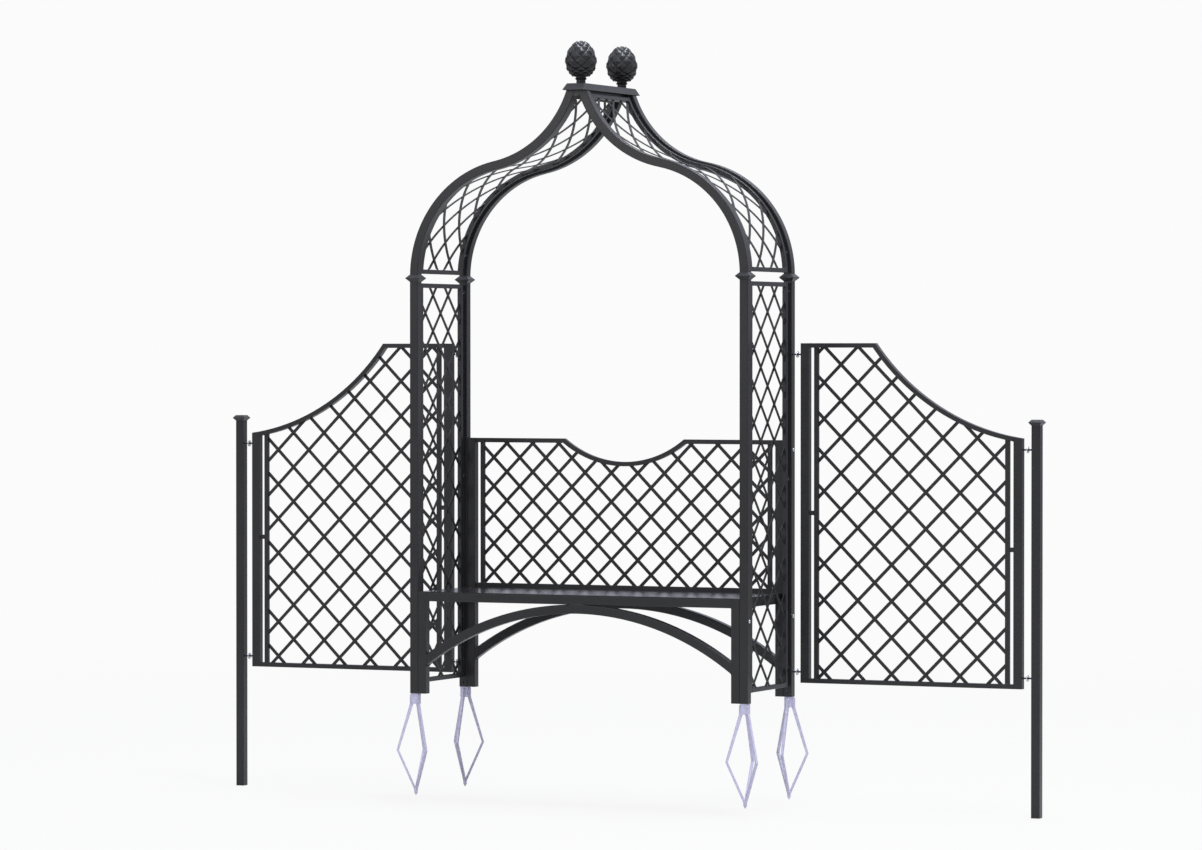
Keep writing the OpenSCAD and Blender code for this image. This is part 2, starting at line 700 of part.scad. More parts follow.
module wing_lattice(x) {
  low = wing_z + wing_rail;
  x0 = wing_x + wing_phase_x;
  color(paint) mirror([x > 0 ? 0 : 1, 0, 0]) translate([0, post_y, 0]) {
    lattice(wing_pitch, 1, x0, wing_phase_z, low, wing_top, wing_w)
      wing_region(wing_rail, wing_stile_in + stile_w, wing_stile_out - stile_w, low);
    for (at = [wing_stile_in, wing_stile_out - stile_w])
      translate([0, stile_d / 2, 0]) rotate([90, 0, 0]) linear_extrude(stile_d)
        wing_region(wing_rail, at, at + stile_w, low);
  }
}

module wing_spacers() {
  color(paint) for (x = [-1, 1]) mirror([x > 0 ? 0 : 1, 0, 0]) translate([0, post_y, 0]) {
    for (place = [[wing_x + wing_stile, spacer_in_z], [wing_stile_out, spacer_out_z]])
      translate([place[0], -stile_d / 2, place[1] - spacer_h / 2])
        cube([wing_lattice_gap, stile_d, spacer_h]);
  }
}

module stud_places(x) {
  mirror([x > 0 ? 0 : 1, 0, 0]) {
    for (z = [stud_top_z, stud_low_z]) translate([post_x + post_s / 2, post_y, z]) children(0);
    for (z = [stud_out_z, stud_low_z]) translate([wing_end, post_y, z]) children(1);
  }
}

module wing_studs() {
  color(steel) for (x = [-1, 1]) stud_places(x) {
    hole_x(bolt_r, -stud_in, wing_gap + stud_in);
    hole_x(bolt_r, -stud_in, outer_gap + stud_in);
  }
}

module stud_disc(gap) {
  translate([(gap - disc_t) / 2, 0, 0]) difference() {
    hole_x(disc_r, 0, disc_t);
    hole_x(bolt_r + bolt_clear, -1, disc_t + 1);
  }
}

module wing_stud_discs() {
  color(steel) for (x = [-1, 1]) stud_places(x) {
    stud_disc(wing_gap);
    stud_disc(outer_gap);
  }
}

module outer_post(x) {
  color(paint) difference() {
    translate([x * outer_x, post_y, -outer_sunk]) big_tube(outer_h + outer_sunk);
    mirror([x > 0 ? 0 : 1, 0, 0]) for (z = [stud_out_z, stud_low_z])
      translate([0, post_y, z]) hole_x(bolt_r + bolt_clear, wing_end, outer_x);
  }
}

module outer_post_cap(x) {
  plug = inner_s - 2 * spigot_clear;
  color(paint) translate([x * outer_x, post_y, outer_h]) {
    double_pyramid(post_s, outer_cap_w, outer_cap_h);
    translate([0, 0, -spigot_l]) linear_extrude(spigot_l + eps) rounded(plug, plug, 1);
  }
}

module sleeve() {
  rotate([-90, 0, 0]) cylinder(r = fix_r, h = panel_gap, $fn = 48);
}

module panel_fixings() {
  side_mid = (fix_low_z + post_h - fix_top_drop) / 2;
  arch_low = arch_start + arch_fix_in;
  arch_high = arch_len - arch_fix_in;
  color(steel) for (x = [-1, 1], y = [-1, 1]) mirror([x > 0 ? 0 : 1, 0, 0]) mirror([0, y > 0 ? 0 : 1, 0]) {
    for (z = [fix_low_z, side_mid, post_h - fix_top_drop]) translate([post_x, panel_half, z]) sleeve();
    for (s = [arch_low, (arch_low + arch_high) / 2, arch_high]) let (p = arch_point(s, 0))
      translate([p[0], panel_half, p[1]]) sleeve();
  }
}

module bench_bolt_places() {
  for (x = [-1, 1], y = [-1, 1]) for (z = y > 0 ? [bolt_low_z, bolt_top_z] : [bolt_low_z])
    mirror([x > 0 ? 0 : 1, 0, 0]) translate([post_x + post_s / 2, y * post_y, z]) children();
}

module bench_bolts() {
  nut_h = 2 * bolt_r;
  color(steel) bench_bolt_places() {
    hole_x(bolt_r, -post_s - wall - nut_h, eps);
    rotate([0, 90, 0]) rotate_extrude($fn = 48) polygon([
      [0, 0], [head_r, 0], [head_r, head_h * 0.35], [head_r * 0.75, head_h * 0.85],
      [head_r * 0.4, head_h], [0, head_h]
    ]);
  }
}

module bench_nuts() {
  nut_h = 2 * bolt_r;
  nut_r = 1.9 * bolt_r;
  color(steel) bench_bolt_places() translate([-post_s - wall - nut_h, 0, 0]) difference() {
    rotate([0, 90, 0]) cylinder(r = nut_r, h = nut_h, $fn = 6);
    hole_x(bolt_r + bolt_clear / 2, -1, nut_h + 1);
  }
}

// Offset to the outer edge of a limb that runs from one point to another
function limb_side(from, to) = let (d = (to - from) / norm(to - from)) limb_s / 2 * [-d[1], d[0]];

// Lug and limb in one flat piece, bent out from the neck and back to the point below it
module limb() {
  root = neck_s / 4;
  bend = [limb_out_r, -limb_bend];
  tip = [0, -point_depth];
  upper = limb_side([limb_in_r, -neck_out], bend);
  lower = limb_side(bend, tip);
  mitre = (upper + lower) / (1 + upper * lower * 4 / limb_s / limb_s);
  rotate([90, 0, 0]) translate([0, 0, -limb_s / 2]) linear_extrude(limb_s) polygon([
    [root, -lug_depth], [limb_in_r + limb_s / 2, -lug_depth], [limb_in_r + limb_s / 2, -neck_out],
    bend + mitre, tip + lower, tip - lower, bend - mitre, [root, -neck_out + limb_s]
  ]);
}

module anchor(x, y) {
  turn = y > 0 ? 30 : 90;
  point_l = 2 * limb_s;
  point_r = 0.8 * limb_s;
  tip_r = 1;
  color(zinc) translate([x * post_x, y * post_y, 0]) {
    translate([0, 0, -neck_out]) linear_extrude(neck_out + neck_in) square(neck_s, center = true);
    for (k = [0 : 2]) rotate([0, 0, turn + 120 * k]) limb();
    translate([0, 0, -point_depth - point_l]) rotate_extrude($fn = 48)
      polygon([[0, 0], [tip_r, 0], [point_r, point_l * 0.6], [point_r, 2 * point_l], [0, 2 * point_l]]);
  }
}

module anchor_set_screws() {
  seat = neck_s / 2;
  color(steel) for (x = [-1, 1], y = [-1, 1]) mirror([0, y > 0 ? 0 : 1, 0])
    translate([x * post_x, post_y, screw_z]) hole_y(screw_r, -post_s / 2 - screw_r, -seat);
}

post(-1, -1);  // post_front_left
post(1, -1);  // post_front_right
post(-1, 1);  // post_back_left
post(1, 1);  // post_back_right
capital(-1, -1);  // capital_front_left
capital(1, -1);  // capital_front_right
capital(-1, 1);  // capital_back_left
capital(1, 1);  // capital_back_right
arch_tube(-1, -1);  // arch_tube_front_left
arch_tube(1, -1);  // arch_tube_front_right
arch_tube(-1, 1);  // arch_tube_back_left
arch_tube(1, 1);  // arch_tube_back_right
side_frame(-1);  // side_frame_left
side_frame(1);  // side_frame_right
side_lattice(-1);  // side_lattice_left
side_lattice(1);  // side_lattice_right
arch_frame(-1);  // arch_frame_left
arch_frame(1);  // arch_frame_right
arch_lattice(-1);  // arch_lattice_left
arch_lattice(1);  // arch_lattice_right
ridge_cap();
ridge_beam();
finial_stem(-1);  // finial_stem_front
finial_stem(1);  // finial_stem_back
finial_cone(-1);  // finial_cone_front
finial_cone(1);  // finial_cone_back
seat_sheet();
seat_cross_rail(-1);  // seat_front_rail
seat_cross_rail(1);  // seat_back_rail
seat_side_rail(-1);  // seat_side_rail_left
seat_side_rail(1);  // seat_side_rail_right
bench_leg(-1, -1);  // bench_leg_front_left
bench_leg(1, -1);  // bench_leg_front_right
bench_leg(-1, 1);  // bench_leg_back_left
bench_leg(1, 1);  // bench_leg_back_right
brace(-1);  // brace_front
brace(1);  // brace_back
back_frame();
back_lattice();
wing_frame(-1);  // wing_frame_left
wing_frame(1);  // wing_frame_right
wing_lattice(-1);  // wing_lattice_left
wing_lattice(1);  // wing_lattice_right
wing_spacers();
wing_studs();
wing_stud_discs();
outer_post(-1);  // outer_post_left
outer_post(1);  // outer_post_right
outer_post_cap(-1);  // outer_post_cap_left
outer_post_cap(1);  // outer_post_cap_right
panel_fixings();
bench_bolts();
bench_nuts();
anchor(-1, -1);  // anchor_front_left
anchor(1, -1);  // anchor_front_right
anchor(-1, 1);  // anchor_back_left
anchor(1, 1);  // anchor_back_right
anchor_set_screws();
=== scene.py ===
import math

import bmesh
import bpy
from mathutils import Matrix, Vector, noise


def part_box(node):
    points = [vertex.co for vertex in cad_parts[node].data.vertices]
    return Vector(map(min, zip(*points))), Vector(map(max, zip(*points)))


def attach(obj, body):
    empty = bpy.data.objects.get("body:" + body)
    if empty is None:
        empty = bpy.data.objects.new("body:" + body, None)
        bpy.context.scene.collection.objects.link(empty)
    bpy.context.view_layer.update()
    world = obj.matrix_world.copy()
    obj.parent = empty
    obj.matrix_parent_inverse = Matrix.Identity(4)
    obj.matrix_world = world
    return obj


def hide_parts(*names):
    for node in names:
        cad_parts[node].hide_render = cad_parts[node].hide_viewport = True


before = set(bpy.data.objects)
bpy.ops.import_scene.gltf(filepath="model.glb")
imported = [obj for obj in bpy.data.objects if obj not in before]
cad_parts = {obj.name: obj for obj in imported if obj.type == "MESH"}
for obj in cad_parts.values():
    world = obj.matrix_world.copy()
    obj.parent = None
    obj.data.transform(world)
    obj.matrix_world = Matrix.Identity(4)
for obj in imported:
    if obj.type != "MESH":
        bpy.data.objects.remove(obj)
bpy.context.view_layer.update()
print("arbor bench: frame loaded,", len(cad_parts), "parts")

mm = 0.001
alongX, alongY, alongZ = Vector((1, 0, 0)), Vector((0, 1, 0)), Vector((0, 0, 1))


# A shader socket that can be used in plain arithmetic
class Tone:
    def __init__(self, box, socket):
        self.box = box
        self.socket = socket

    def work(self, operation, first, second):
        return self.box.node("ShaderNodeMath", {"operation": operation}, {0: first, 1: second})

    def __add__(self, other):
        return self.work("ADD", self, other)

    def __radd__(self, other):
        return self.work("ADD", other, self)

    def __sub__(self, other):
        return self.work("SUBTRACT", self, other)

    def __rsub__(self, other):
        return self.work("SUBTRACT", other, self)

    def __mul__(self, other):
        return self.work("MULTIPLY", self, other)

    def __rmul__(self, other):
        return self.work("MULTIPLY", other, self)

    def __truediv__(self, other):
        return self.work("DIVIDE", self, other)

    def __rtruediv__(self, other):
        return self.work("DIVIDE", other, self)

    def positive(self):
        return self.work("MAXIMUM", self, 0.0)

    def clip(self):
        return self.work("MINIMUM", self.positive(), 1.0)

    def sharpen(self, start, gain):
        return ((self - start) * gain).clip()

    def swing(self, amount):
        return (self - 0.5) * amount


# A sheet of nodes: of a finish, the floor or the sky
class NodeSheet:
    def __init__(self, tree):
        self.tree = tree

    def node(self, kind, settings=None, inputs=None, out=0):
        made = self.tree.nodes.new(kind)
        for key, value in (settings or {}).items():
            setattr(made, key, value)
        for key, value in (inputs or {}).items():
            self.plug(made.inputs[key], value)
        return Tone(self, made.outputs[out])

    def plug(self, socket, value):
        if isinstance(value, Tone):
            self.tree.links.new(value.socket, socket)
        elif isinstance(value, (tuple, list)) and len(value) == 3 and socket.type == "RGBA":
            socket.default_value = (*value, 1)
        else:
            socket.default_value = value

    def place(self):
        return self.node("ShaderNodeNewGeometry", out="Position")

    def cloud(self, size, detail=3.0, roughness=0.55):
        return self.node("ShaderNodeTexNoise", {"noise_dimensions": "3D"},
                         {"Vector": self.place(), "Scale": 1 / size, "Detail": detail, "Roughness": roughness})

    def blend(self, factor, first, second):
        return self.node("ShaderNodeMix", {"data_type": "RGBA"}, {0: factor, 6: first, 7: second}, out=2)


# The sheet of one finish, with its shader
class FinishSheet(NodeSheet):
    def __init__(self, name, **fixed):
        self.material = bpy.data.materials.new(name)
        self.material.use_nodes = True
        super().__init__(self.material.node_tree)
        self.shader = self.tree.nodes["Principled BSDF"]
        for socket, value in fixed.items():
            self.shader.inputs[socket.replace("_", " ")].default_value = value

    def feed(self, **inputs):
        for name, value in inputs.items():
            self.plug(self.shader.inputs[name.replace("_", " ")], value)

    def relief(self, height, depth, edge):
        rounded = self.node("ShaderNodeBevel", {"samples": 4}, {"Radius": edge})
        self.feed(Normal=self.node("ShaderNodeBump", None, {
            "Height": height, "Distance": depth, "Strength": 1.0, "Normal": rounded}))


# In each look below the lengths are the sizes of its noises, then depth for its relief and edge for its corners
coatShine = {"IOR": 1.5, "Specular_IOR_Level": 0.4}

# Powder coat: a shade, a little cloudiness, orange peel, rounded edges
tubesLook = {
    "shade": (0.0155, 0.0155, 0.0165), "dusty": (0.0235, 0.0235, 0.0250), "gloss": 0.34,
    "drift": 350 * mm, "speck": 0.9 * mm, "peel": 1.6 * mm, "depth": 0.035 * mm, "edge": 0.8 * mm,
}

# The same coat on the flats, with a darker shade that is painted shade, and duller
flatsPaintedShadeLook = {**tubesLook, "shade": (0.0125, 0.0125, 0.0130), "dusty": (0.0190, 0.0190, 0.0200), "gloss": 0.42,
             "edge": 0.5 * mm}


def powderCoat(name, look):
    sheet = FinishSheet(name, **coatShine)
    drift = sheet.cloud(look["drift"], 2.0)
    speck = sheet.cloud(look["speck"], 1.0, 0.4)
    peel = sheet.cloud(look["peel"], 1.5, 0.45)
    dust = drift.sharpen(0.35, 1.6) * 0.7 + speck.swing(0.35)
    sheet.feed(
        Base_Color=sheet.blend(dust.clip(), look["shade"], look["dusty"]),
        Roughness=look["gloss"] + drift.swing(0.16) + speck.swing(0.12),
    )
    sheet.relief(peel + speck * 0.25, look["depth"], look["edge"])
    return sheet.material


# Sheet of the seat: the same coat, smoother, with the slow waves of thin steel; its shade, a little lighter and bluer
# than the tubes', is painted light of its upward face
seatLook = {
    "shade": (0.0170, 0.0170, 0.0190), "dusty": (0.0250, 0.0250, 0.0280), "gloss": 0.19,
    "drift": 220 * mm, "scuff": 6 * mm, "peel": 1.6 * mm, "wave": 140 * mm,
    "waveDepth": 0.30 * mm, "depth": 0.02 * mm, "edge": 2.2 * mm,
}


def seatCoat(name, look):
    sheet = FinishSheet(name, **coatShine)
    drift = sheet.cloud(look["drift"], 2.0)
    scuff = sheet.cloud(look["scuff"], 3.0, 0.6)
    peel = sheet.cloud(look["peel"], 1.5, 0.45)
    wave = sheet.cloud(look["wave"], 1.0, 0.3)
    dust = drift.sharpen(0.4, 1.7) * 0.6 + scuff.swing(0.4)
    sheet.feed(
        Base_Color=sheet.blend(dust.clip(), look["shade"], look["dusty"]),
        Roughness=look["gloss"] + scuff.swing(0.14) + drift.swing(0.1),
    )
    sheet.relief(wave * (look["waveDepth"] / look["depth"]) + peel, look["depth"], look["edge"])
    return sheet.material


# Cast aluminium under the coat: grainy and pitted
castLook = {
    "shade": (0.0150, 0.0150, 0.0165), "bright": (0.0230, 0.0230, 0.0250), "gloss": 0.36,
    "drift": 30 * mm, "grain": 2.2 * mm, "pit": 3.4 * mm, "depth": 0.05 * mm, "edge": 0.7 * mm,
}


def castCoat(name, look):
    sheet = FinishSheet(name, **coatShine)
    drift = sheet.cloud(look["drift"], 2.0)
    grain = sheet.cloud(look["grain"], 3.0, 0.6)
    pit = sheet.node("ShaderNodeTexVoronoi", {"feature": "F1"}, {"Vector": sheet.place(), "Scale": 1 / look["pit"]})
    sheet.feed(
        Base_Color=sheet.blend(drift * 0.6 + grain * 0.4, look["shade"], look["bright"]),
        Roughness=look["gloss"] + grain.swing(0.25),
    )
    sheet.relief(grain * 0.6 + (pit * 1.8).clip() * 0.4, look["depth"], look["edge"])
    return sheet.material


# Hot dip zinc: pale, with a lavender cast, large soft spangles and thick drips
zincLook = {
    "pale": (0.66, 0.64, 0.82), "deep": (0.52, 0.51, 0.66), "metallic": 0.35, "rough": 0.52,
    "spangle": 14 * mm, "warp": 9 * mm, "run": 22 * mm, "fine": 1.1 * mm, "depth": 0.5 * mm, "edge": 1.2 * mm,
}


def zincCoat(name, look):
    sheet = FinishSheet(name, Metallic=look["metallic"])
    warp = sheet.cloud(look["warp"], 2.0)
    cells = sheet.node("ShaderNodeTexVoronoi", {"feature": "F1"},
                       {"Vector": sheet.place(), "Scale": 1 / look["spangle"], "Randomness": 1.0}, out="Color")
    cell = sheet.node("ShaderNodeSeparateColor", None, {"Color": cells})
    run = sheet.cloud(look["run"], 3.0)
    fine = sheet.cloud(look["fine"], 2.0, 0.5)
    stain = (cell * 0.55 + warp * 0.45 + run.swing(0.5)).clip()
    sheet.feed(
        Base_Color=sheet.blend(stain, look["pale"], look["deep"]),
        Roughness=look["rough"] + cell.swing(0.2) + fine.swing(0.1),
    )
    sheet.relief(run + fine * 0.12 + cell * 0.08, look["depth"], look["edge"])
    return sheet.material


# Bright plated steel of the bolts: fine turning scratches and a few dull spots
steelLook = {
    "bright": (0.72, 0.72, 0.74), "dull": (0.45, 0.45, 0.47), "rough": 0.26,
    "spot": 5 * mm, "fine": 0.35 * mm, "depth": 0.02 * mm, "edge": 0.4 * mm,
}


def steelCoat(name, look):
    sheet = FinishSheet(name, Metallic=1.0)
    dull = sheet.cloud(look["spot"], 3.0, 0.6)
    fine = sheet.cloud(look["fine"], 2.0, 0.5)
    sheet.feed(
        Base_Color=sheet.blend(dull.sharpen(0.45, 2.5), look["bright"], look["dull"]),
        Roughness=look["rough"] + dull.swing(0.22) + fine.swing(0.15),
    )
    sheet.relief(fine + dull * 0.4, look["depth"], look["edge"])
    return sheet.material


# Blackened steel of the studs and set screws, worn bright in spots
blackLook = {
    "shade": (0.022, 0.022, 0.024), "worn": (0.14, 0.14, 0.15), "metallic": 0.8, "rough": 0.38,
    "spot": 4 * mm, "fine": 0.4 * mm, "depth": 0.02 * mm, "edge": 0.2 * mm,
}


def blackSteelCoat(name, look):
    sheet = FinishSheet(name, Metallic=look["metallic"])
    worn = sheet.cloud(look["spot"], 3.0, 0.6)
    fine = sheet.cloud(look["fine"], 2.0, 0.5)
    sheet.feed(
        Base_Color=sheet.blend(worn.sharpen(0.5, 3.0), look["shade"], look["worn"]),
        Roughness=look["rough"] + fine.swing(0.2),
    )
    sheet.relief(fine, look["depth"], look["edge"])
    return sheet.material


# Moulded end plugs: matt black plastic with a fine spark texture
plugLook = {
    "shade": (0.016, 0.016, 0.017), "pale": (0.028, 0.028, 0.03), "bend": 1.46, "rough": 0.55,
    "drift": 18 * mm, "fine": 0.5 * mm, "depth": 0.06 * mm, "edge": 0.5 * mm,
}


def plugPlastic(name, look):
    sheet = FinishSheet(name, IOR=look["bend"])
    spark = sheet.cloud(look["fine"], 2.0, 0.5)
    drift = sheet.cloud(look["drift"], 2.0)
    sheet.feed(
        Base_Color=sheet.blend(drift, look["shade"], look["pale"]),
        Roughness=look["rough"] + spark.swing(0.2),
    )
    sheet.relief(spark, look["depth"], look["edge"])
    return sheet.material


finish = {
    "tubes": powderCoat("powderCoatTubes", tubesLook),
    # the flats' darker shade is painted shade on the same coat as the tubes
    "flats": powderCoat("powderCoatFlatsPaintedShade", flatsPaintedShadeLook),
    "sheet": seatCoat("powderCoatSheet", seatLook),
    "cast": castCoat("powderCoatCast", castLook),
    "zinc": zincCoat("hotDipZinc", zincLook),
    "steel": steelCoat("platedSteel", steelLook),
    "blackSteel": blackSteelCoat("blackenedSteel", blackLook),
    "plug": plugPlastic("blackPlug", plugLook),
}
steelNodes = ("wing_studs", "wing_stud_discs", "panel_fixings", "bench_bolts", "bench_nuts", "anchor_set_screws")


# Finish of a solid, by its name
def lookOf(name):
    if name in steelNodes:
        return "steel"
    if name.startswith("anchor_"):
        return "zinc"
    if "lattice" in name:
        return "flats"
    if name == "seat_sheet":
        return "sheet"
    return "cast" if name.startswith(("finial", "capital")) else "tubes"


for name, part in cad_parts.items():
    part.data.materials.clear()
    part.data.materials.append(finish[lookOf(name)])
print("arbor bench: finishes laid on the frame")


# Points and faces of a piece in the making
class Shape:
    def __init__(self):
        self.points, self.faces = [], []

    # Rings of points and a skin over them that is closed at both ends
    def skin(self, rings, flipped=False):
        base, count = len(self.points), len(rings[0])
        last = base + (len(rings) - 1) * count
        skin = []
        for start in range(base, last, count):
            for i in range(count):
                k = (i + 1) % count
                skin.append((start + i, start + k, start + count + k, start + count + i))
        skin.append(tuple(reversed(range(base, base + count))))
        skin.append(tuple(range(last, last + count)))
        for ring in rings:
            self.points.extend(ring)
        self.faces.extend(tuple(reversed(face)) if flipped else face for face in skin)


def addPiece(name, shape, look, smooth=True, stands=()):
    mesh = bpy.data.meshes.new(name)
    mesh.from_pydata([tuple(p) for p in shape.points], [], shape.faces)
    mesh.update()
    obj = bpy.data.objects.new(name, mesh)
    bpy.context.scene.collection.objects.link(obj)
    mesh.materials.append(finish[look])
    for face in mesh.polygons:
        face.use_smooth = smooth
    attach(obj, "root")
    if stands:
        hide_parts(*stands)
    return obj


# Boxes of the separate solids of a node that holds several
def looseBoxes(node):
    mesh = bmesh.new()
    mesh.from_mesh(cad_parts[node].data)
    bmesh.ops.remove_doubles(mesh, verts=mesh.verts, dist=0.01 * mm)
    seen, boxes = set(), []
    for start in mesh.verts:
        if start.index in seen:
            continue
        stack, group = [start], []
        seen.add(start.index)
        while stack:
            v = stack.pop()
            group.append(v.co.copy())
            for e in v.link_edges:
                w = e.other_vert(v)
                if w.index not in seen:
                    seen.add(w.index)
                    stack.append(w)
        boxes.append([Vector([pick(c[i] for c in group) for i in range(3)]) for pick in (min, max)])
    mesh.free()
    return boxes


# Middle of a box's low end along an axis, or of its high end for way -1
def endOf(low, high, axis, way=1):
    spot = Vector([(a + b) / 2 for a, b in zip(low, high)])
    spot[axis] = (low if way > 0 else high)[axis]
    return spot


def span(node, axis):
    low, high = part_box(node)
    return low[axis], high[axis]


# Finial cones: overlapping four-sided scales on an egg, tips up, each a low pyramid raised along its upper edges
cone = {
    "radius": 66.5 * mm, "height": 160 * mm, "widest": 66 * mm, "foot": 33 * mm, "pointed": 0.66,
    "around": 8,  # scales in a row
    "tips": [6, 12, 19, 28, 41, 64, 86, 109, 128, 140, 149, 155],  # heights of the rows' points in mm
    "toViewer": -65.28,  # one column of scales is centred this way round
    "apex": 4.8 * mm, "step": 4.0 * mm, "thick": 5.4 * mm, "undercut": 0.86, "tuck": 2.5 * mm,
    "fullSize": 30 * mm,  # scales shorter than this are lower too
    "lap": 1.01, "lowestWide": 0.4, "lowestRoot": 8 * mm,
    "across": 10,  # faces across a scale
    "stations": [-1.25, -1.0, -0.8, -0.6, -0.4, -0.2, 0.0, 0.12, 0.25, 0.4, 0.55, 0.7, 0.82, 0.92, 0.99],
    "coreInset": 4.6 * mm, "coreShare": 0.12, "coreTip": 0.4 * mm, "coreSides": 48, "coreStep": 20,
    "sharpAbove": 38,
}


def eggRadius(h):
    low, high = cone["widest"], cone["height"] - cone["widest"]
    if h < low:
        return cone["radius"] * math.sqrt(1 - ((low - h) / low) ** 2 * (1 - (cone["foot"] / cone["radius"]) ** 2))
    return cone["radius"] * max(0.0, 1 - ((h - low) / high) ** 2) ** cone["pointed"]


eggSteps = 400
eggLine = [(eggRadius(cone["height"] * i / eggSteps), cone["height"] * i / eggSteps) for i in range(eggSteps + 1)]
eggRun = [0.0]
for a, b in zip(eggLine, eggLine[1:]):
    eggRun.append(eggRun[-1] + math.dist(a, b))


# Point and outward direction of the egg at a distance along its side
def eggAt(run):
    run = min(max(run, 0.0), eggRun[-1])
    low, high = 0, eggSteps
    while high - low > 1:
        mid = (low + high) // 2
        if eggRun[mid] <= run:
            low = mid
        else:
            high = mid
    (r0, z0), (r1, z1) = eggLine[low], eggLine[high]
    share = (run - eggRun[low]) / (eggRun[high] - eggRun[low])
    length = math.dist((r0, z0), (r1, z1))
    return r0 + (r1 - r0) * share, z0 + (z1 - z0) * share, (z1 - z0) / length, (r0 - r1) / length


def runAtHeight(h):
    return next(run for run, (_, z) in zip(eggRun, eggLine) if z >= h)


def scalePoint(angle, run, lift):
    r, z, outR, outZ = eggAt(run)
    r += lift * outR
    z += lift * outZ
    return r * math.cos(angle), r * math.sin(angle), z


# One scale, from three runs along the egg: its point, where it is widest, and where the row below covers it
def addScale(shape, angle, tipRun, wideRun, lowRun, wide, size):
    across, stations = cone["across"], cone["stations"]
    base = len(shape.points)
    for layer in (0, 1):  # its outside, then its underside
        reach = cone["undercut"] if layer else 1.0
        for t in stations:
            run = wideRun + (tipRun - wideRun if t > 0 else wideRun - lowRun) * t - cone["tuck"] * layer * max(0.0, t)
            narrow = 1 - max(0.0, t)
            for j in range(across + 1):
                u = 2 * j / across - 1
                pyramid = max(0.0, 1 - abs(u) * narrow - abs(t))
                lift = size * (cone["apex"] * pyramid + cone["step"] * t - cone["thick"] * layer)
                shape.points.append(scalePoint(angle + u * wide * narrow * reach, run, lift))
    row = across + 1
    sheet = len(stations) * row
    last = base + sheet - row
    for start in range(base, last, row):
        for a in range(start, start + across):
            shape.faces.append((a, a + 1, a + row + 1, a + row))
            shape.faces.append((a + sheet, a + sheet + row, a + sheet + row + 1, a + sheet + 1))
    left, right = range(base, last + row, row), range(base + across, last + row, row)
    tip, root = range(last, last + row), range(base, base + row)
    for edge, flip in ((left, False), (right, True), (tip, False), (root, True)):
        for a, b in zip(edge, edge[1:]):
            quad = (a, b, b + sheet, a + sheet)
            shape.faces.append(tuple(reversed(quad)) if flip else quad)


def makeCone(end):
    node = "finial_cone_" + end
    low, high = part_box(node)
    shape, core = Shape(), []
    corners = [i * math.tau / cone["coreSides"] for i in range(cone["coreSides"])]
    for r, z in eggLine[::cone["coreStep"]]:
        inset = min(cone["coreInset"], cone["coreShare"] * r if z > cone["widest"] else cone["coreInset"])
        inner = max(cone["coreTip"], r - inset)
        core.append([(inner * math.cos(a), inner * math.sin(a), z) for a in corners])
    shape.skin(core)
    tips = [runAtHeight(h * mm) for h in cone["tips"]]
    half = math.pi / cone["around"]
    for k, tip in enumerate(tips):
        wide = tips[k - 1] if k > 0 else tip * cone["lowestWide"]
        root = tips[k - 2] if k > 1 else wide - cone["lowestRoot"]
        turn = (k % 2) * half + math.radians(cone["toViewer"])
        size = min(1.0, (tip - root) / cone["fullSize"]) ** 0.5
        for i in range(cone["around"]):
            addScale(shape, turn + i * math.tau / cone["around"], tip, wide, root, half * cone["lap"], size)
    foot = Vector((0, (low.y + high.y) / 2, low.z))
    placed = [Vector(p) + foot for p in shape.points]
    shape.points = [Vector((p.x, p.y, min(p.z, high.z))) for p in placed]  # nothing stands above the solid cone
    piece = addPiece("finialCone" + end.capitalize(), shape, "cast", True, (node,))
    piece.data.set_sharp_from_angle(angle=math.radians(cone["sharpAbove"]))


makeCone("front")
makeCone("back")
print("arbor bench: cones scaled")


# Turned part: rings of (radius, distance along the axis) round a line from start in a direction
def turned(shape, start, direction, profile, sides=32):
    axis = Vector(direction).normalized()
    aside = axis.orthogonal().normalized()
    other = axis.cross(aside)
    rings = []
    for radius, along in profile:
        ring = []
        for i in range(sides):
            a = i * math.tau / sides
            r = radius(a, along) if callable(radius) else radius
            ring.append(Vector(start) + axis * along + (aside * math.cos(a) + other * math.sin(a)) * r)
        rings.append(ring)
    shape.skin(rings)


# Distance of a hexagon's side from its middle, at an angle
def hexAt(a, flats):
    return flats / 2 / math.cos((a + math.pi / 6) % (math.pi / 3) - math.pi / 6)


nut = {"flats": 13 * mm, "turnedTo": 0.46, "bevel": 1.04, "sides": 48,
       "steps": [0.0, 0.04, 0.1, 0.18, 0.3, 0.5, 0.7, 0.82, 0.9, 0.96, 1.0]}


# Hexagon nut with its corners turned off to a cone at both ends
def hexagon(shape, start, direction, height):
    face = nut["flats"] * nut["turnedTo"]

    def side(a, along):
        return min(hexAt(a, nut["flats"]), max((min(along, height - along) + face) * nut["bevel"], face))

    turned(shape, start, direction, [(side, height * s) for s in nut["steps"]], nut["sides"])


thread = {"pitch": 1.25 * mm, "flank": 1.5, "ringsPerTurn": 5, "sides": 18}


# Threaded rod: the ridge climbs once round for every pitch
def threaded(shape, start, direction, radius, length, depth):
    def ridge(a, along):
        turnShare = (along / thread["pitch"] - a / math.tau) % 1.0
        return radius - depth * min(1.0, abs(2 * turnShare - 1) * thread["flank"])

    count = max(4, round(length / thread["pitch"] * thread["ringsPerTurn"]))
    turned(shape, start, direction, [(ridge, length * i / count) for i in range(count + 1)], thread["sides"])


bolt = {"radius": 4 * mm, "thread": 0.75 * mm, "rim": 0.7 * mm, "domeTurn": 86, "domeSteps": 8, "domeTip": 0.3 * mm,
        "sides": 40}
disc = {"bore": 4.2 * mm, "hub": 0.55, "groove": 0.6, "sunk": 0.5 * mm, "sides": 48,
        "rim": [(1.6, 0.5), (1.0, 0.3), (0.35, 0.6), (0.0, 1.3)]}  # mm in from the rim, and mm along


